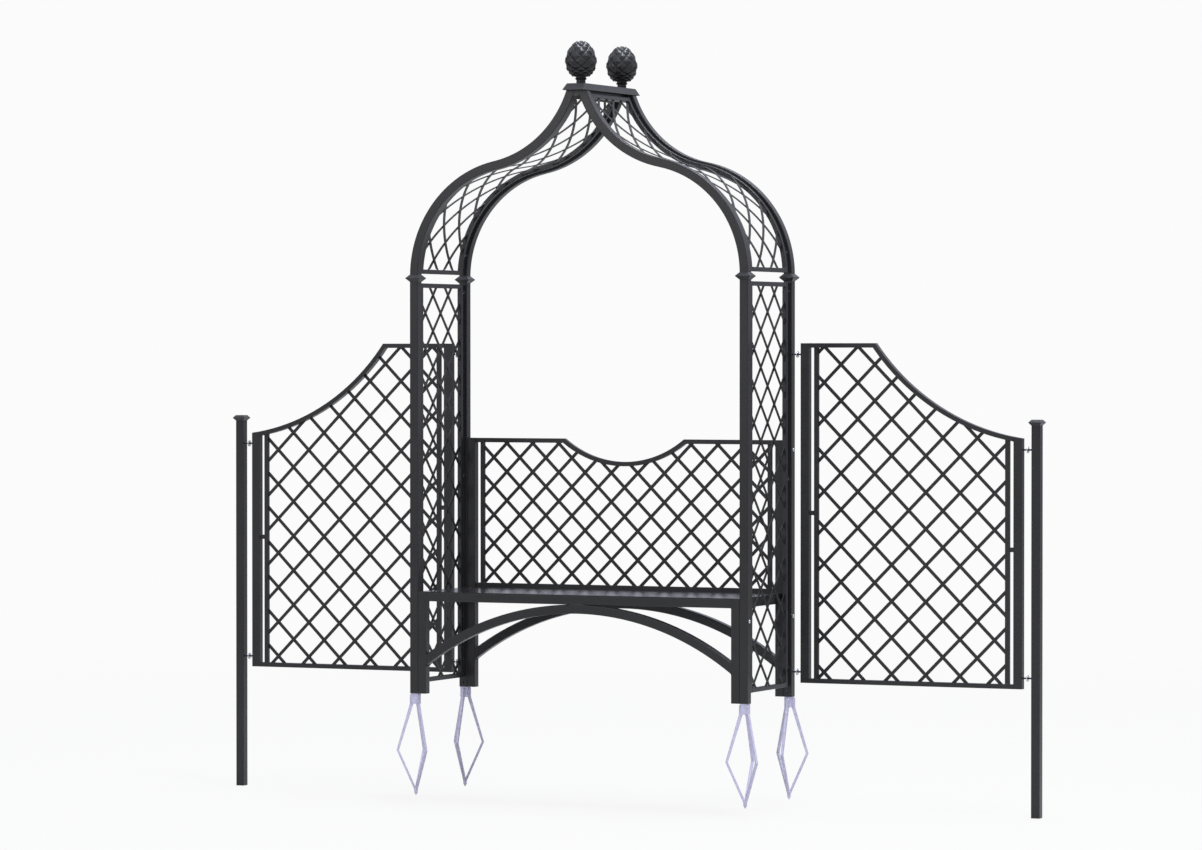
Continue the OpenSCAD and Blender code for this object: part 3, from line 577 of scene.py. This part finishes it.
# Threaded studs between the posts and the wings, and the discs on them
def makeStuds():
    shape = Shape()
    for low, high in looseBoxes("wing_studs"):
        threaded(shape, endOf(low, high, 0), alongX, bolt["radius"], high.x - low.x, bolt["thread"])
    addPiece("wingStuds", shape, "blackSteel", True, ("wing_studs",))
    shape = Shape()
    for low, high in looseBoxes("wing_stud_discs"):
        r, thick = (high.z - low.z) / 2, high.x - low.x
        half = [(disc["bore"], 0.0), (r * disc["hub"], 0.0), (r * disc["groove"], disc["sunk"])]
        half += [(r - inset * mm, along * mm) for inset, along in disc["rim"]]
        profile = half + [(radius, thick - along) for radius, along in reversed(half)]
        turned(shape, endOf(low, high, 0), alongX, profile, disc["sides"])
    addPiece("wingStudDiscs", shape, "steel", True, ("wing_stud_discs",))


# Bench bolts with a round head on the post's outer face, and their nuts inside the legs
def makeBenchBolts():
    shape = Shape()
    face = span("post_front_right", 0)[1]
    for low, high in looseBoxes("bench_bolts"):
        way = 1 if high.x > 0 else -1
        radius, rise = (high.z - low.z) / 2, max(abs(low.x), abs(high.x)) - face - bolt["rim"]
        inner = endOf(low, high, 0, way)
        threaded(shape, inner, way * alongX, bolt["radius"], face - abs(inner.x), bolt["thread"])
        dome = [(radius, 0.0), (radius, bolt["rim"])]
        for i in range(1, bolt["domeSteps"] + 1):
            a = i / bolt["domeSteps"] * math.radians(bolt["domeTurn"])
            dome.append((max(bolt["domeTip"], radius * math.cos(a)), bolt["rim"] + rise * math.sin(a)))
        turned(shape, (way * face, inner.y, inner.z), way * alongX, dome, bolt["sides"])
    addPiece("benchBolts", shape, "steel", True, ("bench_bolts",))
    shape = Shape()
    for low, high in looseBoxes("bench_nuts"):
        way = 1 if high.x > 0 else -1
        hexagon(shape, endOf(low, high, 0, way), way * alongX, high.x - low.x)
    addPiece("benchNuts", shape, "steel", True, ("bench_nuts",))


barrel = {"neck": 0.8, "bulge": 0.45, "full": 0.7, "steps": 12}


# Spacers that hold the panels between the posts: bright barrels
def makeSpacers():
    shape = Shape()
    for low, high in looseBoxes("panel_fixings"):
        length, r = high.y - low.y, (high.z - low.z) / 2
        profile = [(r * barrel["neck"], 0.0)]
        for i in range(1, barrel["steps"]):
            s = i / barrel["steps"]
            swell = barrel["bulge"] * math.sin(math.pi * s) ** barrel["full"]
            profile.append((r * (barrel["neck"] + swell), length * s))
        profile.append((r * barrel["neck"], length))
        turned(shape, endOf(low, high, 1), alongY, profile)
    addPiece("panelSpacers", shape, "steel", True, ("panel_fixings",))


makeStuds()
makeBenchBolts()
makeSpacers()
print("arbor bench: bolts and spacers turned")

# Welds: rippled beads where steel meets steel, under the same coat
weld = {
    "lattice": 2.1 * mm, "frame": 2.6 * mm, "panel": 2.0 * mm, "spacer": 1.8 * mm, "seat": 3.6 * mm,
    "sheet": 2.6 * mm, "sheetHalf": 12 * mm, "sheetBeads": 6, "sheetMargin": 60 * mm,
    "crown": 2.6 * mm, "crownHeight": 1.0 * mm, "crownHalf": 34 * mm, "crownIn": 0.6 * mm, "anchor": 5.5 * mm,
    "seam": 0.45 * mm,  # height over a flush seam
    "ripple": 2.4 * mm, "rippleDepth": 0.11, "waver": 3, "waverScale": 40, "uneven": 0.3, "unevenScale": 160,
    "endSize": 0.3, "endGrowth": 0.8, "sink": 0.4 * mm, "hollow": 0.16,
    "corner": 3 * mm, "thinCorner": 1 * mm,  # left free at the round corners of tubes and of panel stiles
    "shortest": 2 * mm,
}


# Bead along a line, bulging between two directions: a quarter turn in a corner, a half turn on a flush seam
def layBead(shape, start, end, first, second, reach, height, turn=90, coarse=False):
    start, end = Vector(start), Vector(end)
    length = (end - start).length
    if length < weld["shortest"]:
        return
    arc = 4 if coarse else 6
    count = max(4, round(length / (weld["ripple"] / (1 if coarse else 3))))
    back = -second * weld["sink"] - first * (weld["sink"] if turn == 90 else 0)
    rings = []
    for i in range(count + 1):
        along = length * i / count
        toEnd = min(along, length - along)
        spot = start.lerp(end, i / count)
        size = min(1.0, weld["endSize"] + weld["endGrowth"] * toEnd / reach) ** 0.5
        size *= 1 + weld["uneven"] * noise.noise(spot * weld["unevenScale"])
        if not coarse:
            wave = math.tau * along / weld["ripple"] + weld["waver"] * noise.noise(spot * weld["waverScale"])
            size *= 1 + weld["rippleDepth"] * math.cos(wave)
        ring = [spot + back]
        for j in range(arc + 1):
            a = math.radians(turn * j / arc)
            flat = 1 - weld["hollow"] * math.sin(2 * a) if turn == 90 else 1
            ring.append(spot + first * (reach * size * flat * math.cos(a))
                        + second * (height * size * flat * math.sin(a)))
        rings.append(ring)
    shape.skin(rings)


# Beads round the end of a tube that stands on a face: for each side a fillet "f", a flush seam "s" or none "-"
def weldRound(shape, centre, run, sideA, halfA, sideB, halfB, kinds, reach, corner=weld["corner"]):
    centre, run = Vector(centre), run.normalized()
    sideA, sideB = sideA.normalized(), sideB.normalized()
    sides = ((sideA, halfA, sideB, halfB), (-sideA, halfA, sideB, halfB),
             (sideB, halfB, sideA, halfA), (-sideB, halfB, sideA, halfA))
    for kind, (out, gap, along, half) in zip(kinds, sides):
        line = centre + out * gap
        a, b = line - along * (half - corner), line + along * (half - corner)
        if kind == "f":
            layBead(shape, a, b, out, run, reach, reach)
        elif kind == "s":
            layBead(shape, a, b, run, out, reach, weld["seam"], 180)


# Sizes that the boxes of the parts don't give
plan = {
    "flat": 15 * mm, "flatThick": 3 * mm, "slope": 1.067,
    "layerLift": 0.15 * mm,  # how far each layer of the arch's flats stands off the middle
    "rail": 20 * mm, "stile": 20 * mm, "stileDepth": 15 * mm, "latticeGap": 21.5 * mm,
    "sidePitch": 163.2 * mm, "sidePhase": 80 * mm, "archPitch": 164 * mm, "archPhase": 154.5 * mm,
    "archLean": 77.27, "archStraight": 27.6 * mm, "ridgeLean": 20.74,
    "archSink": 5.5 * mm, "archGap": 5 * mm,  # from the arch's spring to the capital's top, and on to its frame
    "capitalHigh": 32 * mm, "sideTopGap": 6 * mm, "capRise": 14 * mm, "tipIn": 12 * mm, "crownGap": 3.2 * mm,
    "wingStile": 40 * mm, "wingFlat": 355 * mm, "wingDrop": 57 * mm, "sweepRadius": 1013 * mm,
    "wingPitch": 161.17 * mm, "wingPhase": (107.5 * mm, 1564.5 * mm),
    "dipRadius": 475 * mm, "dipDepth": 104 * mm, "backGap": 22.5 * mm,
    "backRows": 4.9, "backCols": 10.7, "backFirst": 0.383,
    "sheet": 3 * mm, "braceRadius": 1246 * mm, "braceGap": 0.3 * mm,
    "curveSteps": 24,
}
flatsEnd = {"shortSide": 1 * mm, "longSide": 60 * mm, "leastCross": 0.15}


# Points where the middle lines of the flats cross an outline, with the outline's direction there and the cut's width
def latticeEnds(outline, slope, pitch, u0, v0, layer):
    found = []
    for (ua, va), (ub, vb) in zip(outline, outline[1:] + outline[:1]):
        size = math.hypot(ub - ua, vb - va)
        if size < flatsEnd["shortSide"]:
            continue
        du, dv = (ub - ua) / size, (vb - va) / size
        ga = (va - v0 - layer * slope * (ua - u0)) / pitch
        gb = (vb - v0 - layer * slope * (ub - u0)) / pitch
        cross = abs(du * layer * slope - dv) / math.hypot(1, slope)
        if cross < flatsEnd["leastCross"]:
            continue
        half = plan["flat"] / cross / 2
        for k in range(math.ceil(min(ga, gb)), math.floor(max(ga, gb)) + 1):
            t = (k - ga) / (gb - ga) * size
            low, high = t - half, t + half
            if size > flatsEnd["longSide"]:
                low, high = max(low, 0.0), min(high, size)
            found.append(((ua + du * low, va + dv * low), (ua + du * high, va + dv * high), (-dv, du)))
    return found


# Beads on the outer face of every flat, where it ends on the frame; place turns the lattice's own plane into space
def weldLattice(shape, outline, slope, pitch, u0, v0, place, face):
    reach = weld["lattice"]
    for layer in (-1, 1):
        for (ua, va), (ub, vb), (inU, inV) in latticeEnds(outline, slope, pitch, u0, v0, layer):
            off = layer * face
            um, vm = (ua + ub) / 2, (va + vb) / 2
            spot = place(um, vm, off)
            inward = (place(um + inU * mm, vm + inV * mm, off) - spot).normalized()
            outward = (place(um, vm, off + layer * mm) - spot).normalized()
            layBead(shape, place(ua, va, off), place(ub, vb, off), outward, inward, reach, reach, 90, True)


# Corner sizes of the arbor, read from the boxes of its parts
postHalf = (span("post_front_right", 0)[1] - span("post_front_right", 0)[0]) / 2
postX = span("post_front_right", 0)[1] - postHalf
postY = span("post_back_right", 1)[1] - postHalf
legX = span("bench_leg_back_right", 0)[1] - postHalf
legIn = legX - postHalf
seatHigh = span("seat_front_rail", 2)[1]
backHigh = span("back_frame", 2)[1]
panelIn = span("side_frame_right", 1)[1] - plan["rail"]
sideLow, sideHigh = span("side_frame_right", 2)
wingIn, wingOut = span("wing_frame_right", 0)
wingLow, wingTop = span("wing_frame_right", 2)
wingHalf = (span("wing_frame_right", 1)[1] - span("wing_frame_right", 1)[0]) / 2
wingFace, wingEdge = wingIn + plan["wingStile"], wingOut - plan["wingStile"]  # inner faces of the wing's stiles


# Line of the right half of the arch: a point at a distance along it, moved outwards by an offset, and its length
def archLine():
    lean, ridge, straight = math.radians(plan["archLean"]), math.radians(plan["ridgeLean"]), plan["archStraight"]
    rise = plan["capRise"] + plan["tipIn"] + postHalf * math.sin(ridge)
    ridgeX = plan["crownGap"] / 2 + postHalf * math.cos(ridge) + rise * math.tan(ridge)
    radius = (postX - ridgeX - straight * math.sin(lean)) / (1 + math.cos(ridge) - 2 * math.cos(lean))
    lowC = (postX - radius, sideHigh + plan["sideTopGap"] + plan["capitalHigh"] - plan["archSink"])
    bendA = (lowC[0] + radius * math.cos(lean), lowC[1] + radius * math.sin(lean))
    bendB = (bendA[0] - straight * math.sin(lean), bendA[1] + straight * math.cos(lean))
    highC = (bendB[0] + radius * math.cos(lean), bendB[1] + radius * math.sin(lean))
    lenLow, lenMid = radius * lean, radius * lean + straight
    length = lenMid + radius * (lean - ridge)

    def at(s, off):
        if s < lenLow:
            a = s / radius
            return lowC[0] + (radius + off) * math.cos(a), lowC[1] + (radius + off) * math.sin(a)
        if s < lenMid:
            return (bendA[0] - (s - lenLow) * math.sin(lean) + off * math.cos(lean),
                    bendA[1] + (s - lenLow) * math.cos(lean) + off * math.sin(lean))
        a = math.pi + lean - (s - lenMid) / radius
        return highC[0] + (radius - off) * math.cos(a), highC[1] + (radius - off) * math.sin(a)

    return at, length


archAt, archLength = archLine()

# Sweep of the wings: the middle of its circle, and the height of its edge at a distance from the arbor's middle
sweepFrom = Vector((wingIn + plan["wingFlat"], wingTop))
sweepTo = Vector((wingOut, span("outer_post_right", 2)[1] - plan["wingDrop"]))
sweepChord = (sweepTo - sweepFrom).length
sweepAlong = (sweepTo - sweepFrom) / sweepChord
sweepDeep = math.sqrt(plan["sweepRadius"] ** 2 - sweepChord ** 2 / 4)
sweepC = (sweepFrom + sweepTo) / 2 + Vector((-sweepAlong.y, sweepAlong.x)) * sweepDeep


def sweepHeight(x, inset):
    return sweepC.y - math.sqrt((plan["sweepRadius"] + inset) ** 2 - (x - sweepC.x) ** 2)


def evenly(start, end):
    return [start + (end - start) * i / plan["curveSteps"] for i in range(plan["curveSteps"] + 1)]


# Outline of the wing's lattice, under its swept edge
def wingOutline():
    inset = plan["rail"]
    xa = wingFace + plan["latticeGap"] + plan["stile"]
    xb = wingEdge - plan["latticeGap"] - plan["stile"]
    low, top = wingLow + inset, wingTop - inset
    bend = sweepC.x - math.sqrt((plan["sweepRadius"] + inset) ** 2 - (sweepC.y - top) ** 2)
    curve = [(x, sweepHeight(x, inset)) for x in evenly(bend, xb)]
    return [(xa, low), (xb, low)] + curve[::-1] + [(xa, top)]


# Outline of the back's lattice, with the dip, and its half width, foot and top
def backOutline():
    half = legIn - plan["backGap"] - plan["stile"]
    low, top = seatHigh + plan["sheet"] + plan["rail"], backHigh - plan["rail"]
    dipC, radius = backHigh - plan["dipDepth"] + plan["dipRadius"], plan["dipRadius"] + plan["rail"]
    bend = math.sqrt(radius ** 2 - (dipC - top) ** 2)
    dip = [(x, dipC - math.sqrt(max(0.0, radius ** 2 - x ** 2))) for x in evenly(bend, -bend)]
    return [(-half, low), (half, low), (half, top)] + dip + [(-half, top)], half, low, top


def weldPanels():
    shape = Shape()
    thick, slope = plan["flatThick"], plan["slope"]
    low, high = sideLow + plan["rail"], sideHigh - plan["rail"]
    sideBox = [(-panelIn, low), (panelIn, low), (panelIn, high), (-panelIn, high)]
    low, high = plan["archSink"] + plan["archGap"] + plan["rail"], archLength - plan["rail"]
    archBox = [(-panelIn, low), (panelIn, low), (panelIn, high), (-panelIn, high)]
    outline, half, low, high = backOutline()
    pitch = (high - low) / plan["backRows"]
    weldLattice(shape, outline, pitch / (2 * half / plan["backCols"]), pitch, 0,
                low + plan["backFirst"] * pitch, lambda u, v, off: Vector((u, postY + off, v)), thick)
    wingStart, wingFoot = plan["wingPhase"]
    for side in (-1, 1):
        weldLattice(shape, sideBox, slope, plan["sidePitch"], 0, plan["sidePhase"],
                    lambda u, v, off: Vector((side * postX + off, -u, v)), thick)
        weldLattice(shape, archBox, slope, plan["archPitch"], 0, plan["archPhase"],
                    lambda u, v, off: Vector((side * archAt(v, off)[0], u, archAt(v, off)[1])),
                    thick + plan["layerLift"])
        weldLattice(shape, wingOutline(), 1.0, plan["wingPitch"], wingIn + wingStart, wingFoot,
                    lambda u, v, off: Vector((side * u, postY + off, v)), thick)
    addPiece("latticeWelds", shape, "tubes")


# Beads at the ends of rails and stiles: side and arch trellises, wings with their spacers, and the bench's back
def weldFrames():
    shape = Shape()
    railHalf, stileHalf, deepHalf = plan["rail"] / 2, plan["stile"] / 2, plan["stileDepth"] / 2

    def roundRail(centre, run, sideA, halfA, halfB, kinds, sideB=alongZ):
        weldRound(shape, centre, run, sideA, halfA, sideB, halfB, kinds, weld["frame"])

    def roundStile(centre, run, sideA, halfA, sideB, halfB, reach=weld["frame"]):
        weldRound(shape, centre, run, sideA, halfA, sideB, halfB, "ffff", reach, weld["thinCorner"])

    for side in (-1, 1):
        for end in (-1, 1):
            for z, kinds in ((sideLow + railHalf, "ssfs"), (sideHigh - railHalf, "sssf")):
                roundRail((side * postX, end * panelIn, z), -end * alongY, alongX, railHalf, railHalf, kinds)
            for s, kinds in ((plan["archSink"] + plan["archGap"] + railHalf, "ssf-"), (archLength - railHalf, "ss-f")):
                (x, z), (nextX, nextZ) = archAt(s, 0), archAt(s + mm, 0)
                ahead = Vector((side * (nextX - x), 0, nextZ - z)).normalized()
                roundRail((side * x, end * panelIn, z), -end * alongY, ahead.cross(alongY), railHalf, railHalf, kinds,
                          ahead)
        upper, lower = sweepHeight(wingEdge, 0), sweepHeight(wingEdge, plan["rail"])
        for x, way, z, half, kinds in (
                (wingFace, 1, wingLow + railHalf, railHalf, "ssfs"),
                (wingEdge, -1, wingLow + railHalf, railHalf, "ssfs"),
                (wingFace, 1, wingTop - railHalf, railHalf, "sssf"),
                (wingEdge, -1, (upper + lower) / 2, (upper - lower) / 2, "sssf")):
            roundRail((side * x, postY, z), side * way * alongX, alongY, wingHalf, half, kinds)
        for x in (wingFace + plan["latticeGap"] + stileHalf, wingEdge - plan["latticeGap"] - stileHalf):
            roundStile((side * x, postY, wingLow + plan["rail"]), alongZ, alongX, stileHalf, alongY, deepHalf)
            onFlat = x < sweepFrom.x
            top = wingTop - plan["rail"] if onFlat else sweepHeight(x, plan["rail"])
            rise = 0 if onFlat else (sweepHeight(x + mm, plan["rail"]) - top) / mm
            roundStile((side * x, postY, top), -alongZ, Vector((side, 0, rise)), stileHalf * math.hypot(1, rise),
                       alongY, deepHalf)
        for low, high in looseBoxes("wing_spacers"):
            if low.x * side > 0:
                for way in (1, -1):
                    roundStile(endOf(low, high, 0, way), way * alongX, alongY, (high.y - low.y) / 2,
                               alongZ, (high.z - low.z) / 2, weld["spacer"])
    half = legIn - plan["backGap"] - stileHalf
    foot = seatHigh + plan["sheet"]
    for side in (-1, 1):
        roundRail((side * legIn, postY, backHigh - railHalf), -side * alongX, alongY, railHalf, railHalf, "ff-f")
        roundRail((side * legIn, postY, foot + railHalf), -side * alongX, alongY, railHalf, railHalf, "fff-")
        for z, run in ((foot + plan["rail"], alongZ), (backHigh - plan["rail"], -alongZ)):
            roundStile((side * half, postY, z), run, alongX, stileHalf, alongY, deepHalf, weld["panel"])
    addPiece("frameWelds", shape, "tubes")


# Beads of the seat's rails, its braces and its sheet
def weldSeat():
    shape = Shape()
    radius = plan["braceRadius"]
    braceC = seatHigh - 4 * postHalf - plan["braceGap"] - radius
    low = braceC + math.sqrt(radius ** 2 - legIn ** 2)
    high = braceC + math.sqrt((radius + 2 * postHalf) ** 2 - legIn ** 2)

    def roundTube(centre, run, sideA, half, kinds):
        weldRound(shape, centre, run, sideA, postHalf, alongZ, half, kinds, weld["seat"])

    for end in (-1, 1):
        y = end * postY
        inner = y - end * postHalf
        for side in (-1, 1):
            roundTube((side * legIn, y, seatHigh - postHalf), -side * alongX, alongY, postHalf, "ss-f")
            roundTube((side * legX, inner, seatHigh - postHalf), -end * alongY, alongX, postHalf, "ss-f")
            roundTube((side * legIn, y, (low + high) / 2), -side * alongX, alongY, (high - low) / 2, "ssff")
        for out in (-1, 1):  # the brace's crown under the rail
            ends = [(x, y + out * (postHalf - weld["crownIn"]), seatHigh - 2 * postHalf)
                    for x in (-weld["crownHalf"], weld["crownHalf"])]
            layBead(shape, *ends, alongZ, out * alongY, weld["crown"], weld["crownHeight"], 180)
        for i in range(weld["sheetBeads"]):  # short beads that hold the sheet on its frame, seen from below
            x = (2 * i + 1 - weld["sheetBeads"]) / weld["sheetBeads"] * (legIn - weld["sheetMargin"])
            ends = [(x + shift, inner, seatHigh) for shift in (-weld["sheetHalf"], weld["sheetHalf"])]
            layBead(shape, *ends, -alongZ, -end * alongY, weld["sheet"], weld["sheet"])
    addPiece("seatWelds", shape, "tubes")


anchor = {"neck": 16.5 * mm, "plate": 5 * mm, "top": -7 * mm, "bottom": -46 * mm, "limbs": 3, "backTurn": 30,
          "frontTurn": 90}


# Fillets where the plates of an anchor leave its square neck, thick under the zinc
def weldAnchors():
    shape = Shape()
    for sx in (-1, 1):
        for sy in (-1, 1):
            for k in range(anchor["limbs"]):
                a = math.radians((anchor["backTurn"] if sy > 0 else anchor["frontTurn"]) + 360 / anchor["limbs"] * k)
                run, aside = Vector((math.cos(a), math.sin(a), 0)), Vector((-math.sin(a), math.cos(a), 0))
                for hand in (-1, 1):
                    start = aside * anchor["plate"] * hand
                    reachX, reachY = (
                        (math.copysign(anchor["neck"], toward) - begin) / toward if abs(toward) > 1e-6 else math.inf
                        for begin, toward in ((start.x, run.x), (start.y, run.y)))
                    spot = Vector((sx * postX, sy * postY, 0)) + (start + run * min(reachX, reachY))
                    wall = alongY if reachX < reachY else alongX
                    wall = wall if wall.dot(aside * hand) > 0 else -wall
                    layBead(shape, spot + alongZ * anchor["bottom"], spot + alongZ * anchor["top"], run, wall,
                            weld["anchor"], weld["anchor"])
    addPiece("anchorWelds", shape, "zinc")


weldPanels()
weldFrames()
weldSeat()
weldAnchors()
print("arbor bench: welds laid")

# Webs welded in the notch between the two arch tubes, right below the cap
web = {"above": 3 * mm, "below": 24 * mm, "arch": 4 * mm, "recess": 1.2 * mm, "into": 0.6 * mm, "search": 0.5 * mm,
       "sideSteps": 8, "archSteps": 10}


# Half the gap between the arch tubes at a height
def notchHalf(z):
    s = archLength
    while archAt(s, -postHalf)[1] > z and s > 0:
        s -= web["search"]
    return archAt(s, -postHalf)[0]


def makeWebs():
    shape = Shape()
    capFoot = span("ridge_cap", 2)[0]
    top, low = capFoot + web["above"], capFoot - web["below"]
    heights = [top + (low - top) * i / web["sideSteps"] for i in range(web["sideSteps"] + 1)]
    side = [(notchHalf(z) + web["into"], z) for z in heights]
    turns = [math.pi * i / web["archSteps"] for i in range(1, web["archSteps"])]
    under = [(side[-1][0] * math.cos(a), low + web["arch"] * math.sin(a)) for a in turns]
    outline = side + under + [(-x, z) for x, z in reversed(side)]
    half = postHalf - web["recess"]
    for way in (-1, 1):
        ends = (way * postY - half, way * postY + half)
        shape.skin([[Vector((x, y, z)) for x, z in outline] for y in ends])
    addPiece("ridgeWebs", shape, "tubes", False)


makeWebs()

# Ribbed plugs in the open ends of the bench's legs; each ring is mm in from the half width, corner radius, mm deep
plug = {
    "half": 17.8 * mm,
    "face": [(6.0, 1.0, 0.0), (0.8, 1.2, 0.2), (0.0, 1.4, 1.2)],
    "rib": [(1.2, 1.2, 0.0), (0.1, 1.4, 0.8), (1.2, 1.2, 1.6)],
    "ribsAt": [3.2, 7.2, 11.2],
}


def roundedSquare(half, corner, z, centre, count=6):
    ring = []
    for quarter in range(4):
        cx = (half - corner) * (1, -1, -1, 1)[quarter]
        cy = (half - corner) * (1, 1, -1, -1)[quarter]
        for i in range(count + 1):
            a = math.radians(90 * quarter + 90 * i / count)
            ring.append(Vector((centre.x + cx + corner * math.cos(a), centre.y + cy + corner * math.sin(a), z)))
    return ring


def makePlugs():
    shape = Shape()
    profile = plug["face"] + [(inset, corner, at + deep)
                              for at in plug["ribsAt"] for inset, corner, deep in plug["rib"]]
    for end in ("front", "back"):
        for side in ("left", "right"):
            low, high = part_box("bench_leg_" + end + "_" + side)
            centre = (low + high) / 2
            ends = [(low.z, 1)] + ([(high.z, -1)] if end == "back" else [])
            for z, inward in ends:
                rings = [roundedSquare(plug["half"] - inset * mm, corner * mm, z + inward * deep * mm, centre)
                         for inset, corner, deep in profile]
                shape.skin([ring[::inward] for ring in rings], True)
    addPiece("legPlugs", shape, "plug", False)


screw = {"head": 1.2 * mm, "lap": 0.2 * mm, "thread": 0.7 * mm, "socket": 4 * mm, "socketDeep": -3 * mm, "sides": 36,
         "rim": [(0.8, 0.0), (0.98, 0.15 * mm), (0.98, 0.6 * mm)], "lip": 0.7 * mm, "face": 1.4 * mm}


# Set screws with a hexagon socket, which hold the posts on their anchors
def makeSetScrews():
    shape = Shape()

    def socket(a, along):
        return hexAt(a, screw["socket"])

    for low, high in looseBoxes("anchor_set_screws"):
        way = 1 if high.y > 0 else -1
        start = endOf(low, high, 1, way)
        r, body = (high.z - low.z) / 2, high.y - low.y - screw["head"]
        threaded(shape, start, way * alongY, r, body, screw["thread"])
        profile = [(r * share, along) for share, along in screw["rim"]]
        profile += [(r - screw["lip"], screw["face"]), (socket, screw["face"]), (socket, screw["socketDeep"])]
        turned(shape, start + way * (body - screw["lap"]) * alongY, way * alongY, profile, screw["sides"])
    addPiece("anchorSetScrews", shape, "blackSteel", True, ("anchor_set_screws",))


makePlugs()
makeSetScrews()
print("arbor bench: plugs and set screws fitted")

# Camera of the photograph, studio floor and light
view = {"place": (9.2425, -20.0783, 1.527), "tilt": 90 - 0.8179, "turn": 24.7242, "lens": 147.59, "sensor": 36,
        "far": 400}
studio = {
    "floorZ": -0.502, "floorSize": 120, "floorPale": (0.66, 0.66, 0.66), "floorDeep": (0.62, 0.62, 0.62),
    "cloud": 2.0, "white": 0.966, "shown": 0.93, "fadeFrom": 3.0, "fadeOver": 9.0,
    "ambient": 0.42, "glossy": 0.55, "zenith": 0.85, "sky": (0.85, 0.855, 1.0),
}


def placeCamera():
    camera = bpy.data.objects.new("photoCamera", bpy.data.cameras.new("photoCamera"))
    bpy.context.scene.collection.objects.link(camera)
    camera.location = view["place"]
    camera.rotation_euler = (math.radians(view["tilt"]), 0, math.radians(view["turn"]))
    camera.data.lens = view["lens"]
    camera.data.sensor_fit = "HORIZONTAL"
    camera.data.sensor_width = view["sensor"]
    camera.data.clip_end = view["far"]
    bpy.context.scene.camera = camera


# Floor that catches shadows and fades out to the white behind it
def layFloor():
    half = studio["floorSize"] / 2
    mesh = bpy.data.meshes.new("studioFloor")
    mesh.from_pydata([(-half, -half, 0), (half, -half, 0), (half, half, 0), (-half, half, 0)], [], [(0, 1, 2, 3)])
    floor = bpy.data.objects.new("studioFloor", mesh)
    floor.location.z = studio["floorZ"]
    bpy.context.scene.collection.objects.link(floor)
    sheet = FinishSheet("studioFloor")
    seen = sheet.node("ShaderNodeLightPath", out="Is Camera Ray")
    colour = sheet.blend(sheet.cloud(studio["cloud"], 2.0), studio["floorDeep"], studio["floorPale"])
    diffuse = sheet.node("ShaderNodeBsdfDiffuse", None, {"Color": colour})
    glow = sheet.node("ShaderNodeEmission", None, {"Color": (1.0, 1.0, 1.0), "Strength": studio["white"]})
    away = sheet.node("ShaderNodeVectorMath", {"operation": "LENGTH"}, {0: sheet.place()}, out="Value")
    fade = ((away - studio["fadeFrom"]) / studio["fadeOver"]).clip()
    share = seen * (studio["shown"] + (1 - studio["shown"]) * fade)
    both = sheet.node("ShaderNodeMixShader", None, {0: share, 1: diffuse, 2: glow})
    sheet.plug(sheet.tree.nodes["Material Output"].inputs["Surface"], both)
    mesh.materials.append(sheet.material)


# Sky: white to the camera, soft on the surfaces, and brighter and bluer overhead in what they mirror
def lightWorld():
    world = bpy.data.worlds.new("studioWorld")
    world.use_nodes = True
    bpy.context.scene.world = world
    sheet = NodeSheet(world.node_tree)
    sky = world.node_tree.nodes["Background"]
    seen = sheet.node("ShaderNodeLightPath", out="Is Camera Ray")
    mirrored = sheet.node("ShaderNodeLightPath", out="Is Glossy Ray")
    way = sheet.node("ShaderNodeTexCoord", out="Generated")
    upward = sheet.node("ShaderNodeSeparateXYZ", None, {0: way}, out="Z").positive()
    more = upward * studio["zenith"] + (studio["glossy"] - studio["ambient"])
    level = seen * (studio["white"] - studio["ambient"]) + studio["ambient"]
    sheet.plug(sky.inputs["Strength"], mirrored * more + level)
    sheet.plug(sky.inputs["Color"], sheet.blend(mirrored, (1, 1, 1), studio["sky"]))


lamps = {
    "rightSky": {"from": (4.5, -3.2, 12.5), "to": (0, 0, 1.2), "size": 4.0, "power": 1150, "tint": (0.90, 0.93, 1.0)},
    "frontLeft": {"from": (-5.0, -11.0, 5.0), "to": (0, 0, 1.2), "size": 5.0, "power": 170, "tint": (1.0, 0.99, 0.97)},
    "above": {"from": (1.5, 1.2, 10.5), "to": (0, 0, 0.5), "size": 5.0, "power": 950, "tint": (0.90, 0.93, 1.0)},
}


def hangLamps():
    for name, lamp in lamps.items():
        data = bpy.data.lights.new(name, "AREA")
        data.shape = "DISK"
        data.size = lamp["size"]
        data.energy = lamp["power"]
        data.color = lamp["tint"]
        obj = bpy.data.objects.new(name, data)
        bpy.context.scene.collection.objects.link(obj)
        obj.location = lamp["from"]
        obj.rotation_euler = (Vector(lamp["to"]) - Vector(lamp["from"])).to_track_quat("-Z", "Y").to_euler()


placeCamera()
layFloor()
lightWorld()
hangLamps()
bpy.context.scene.view_settings.view_transform = "Standard"
print("arbor bench: studio set")
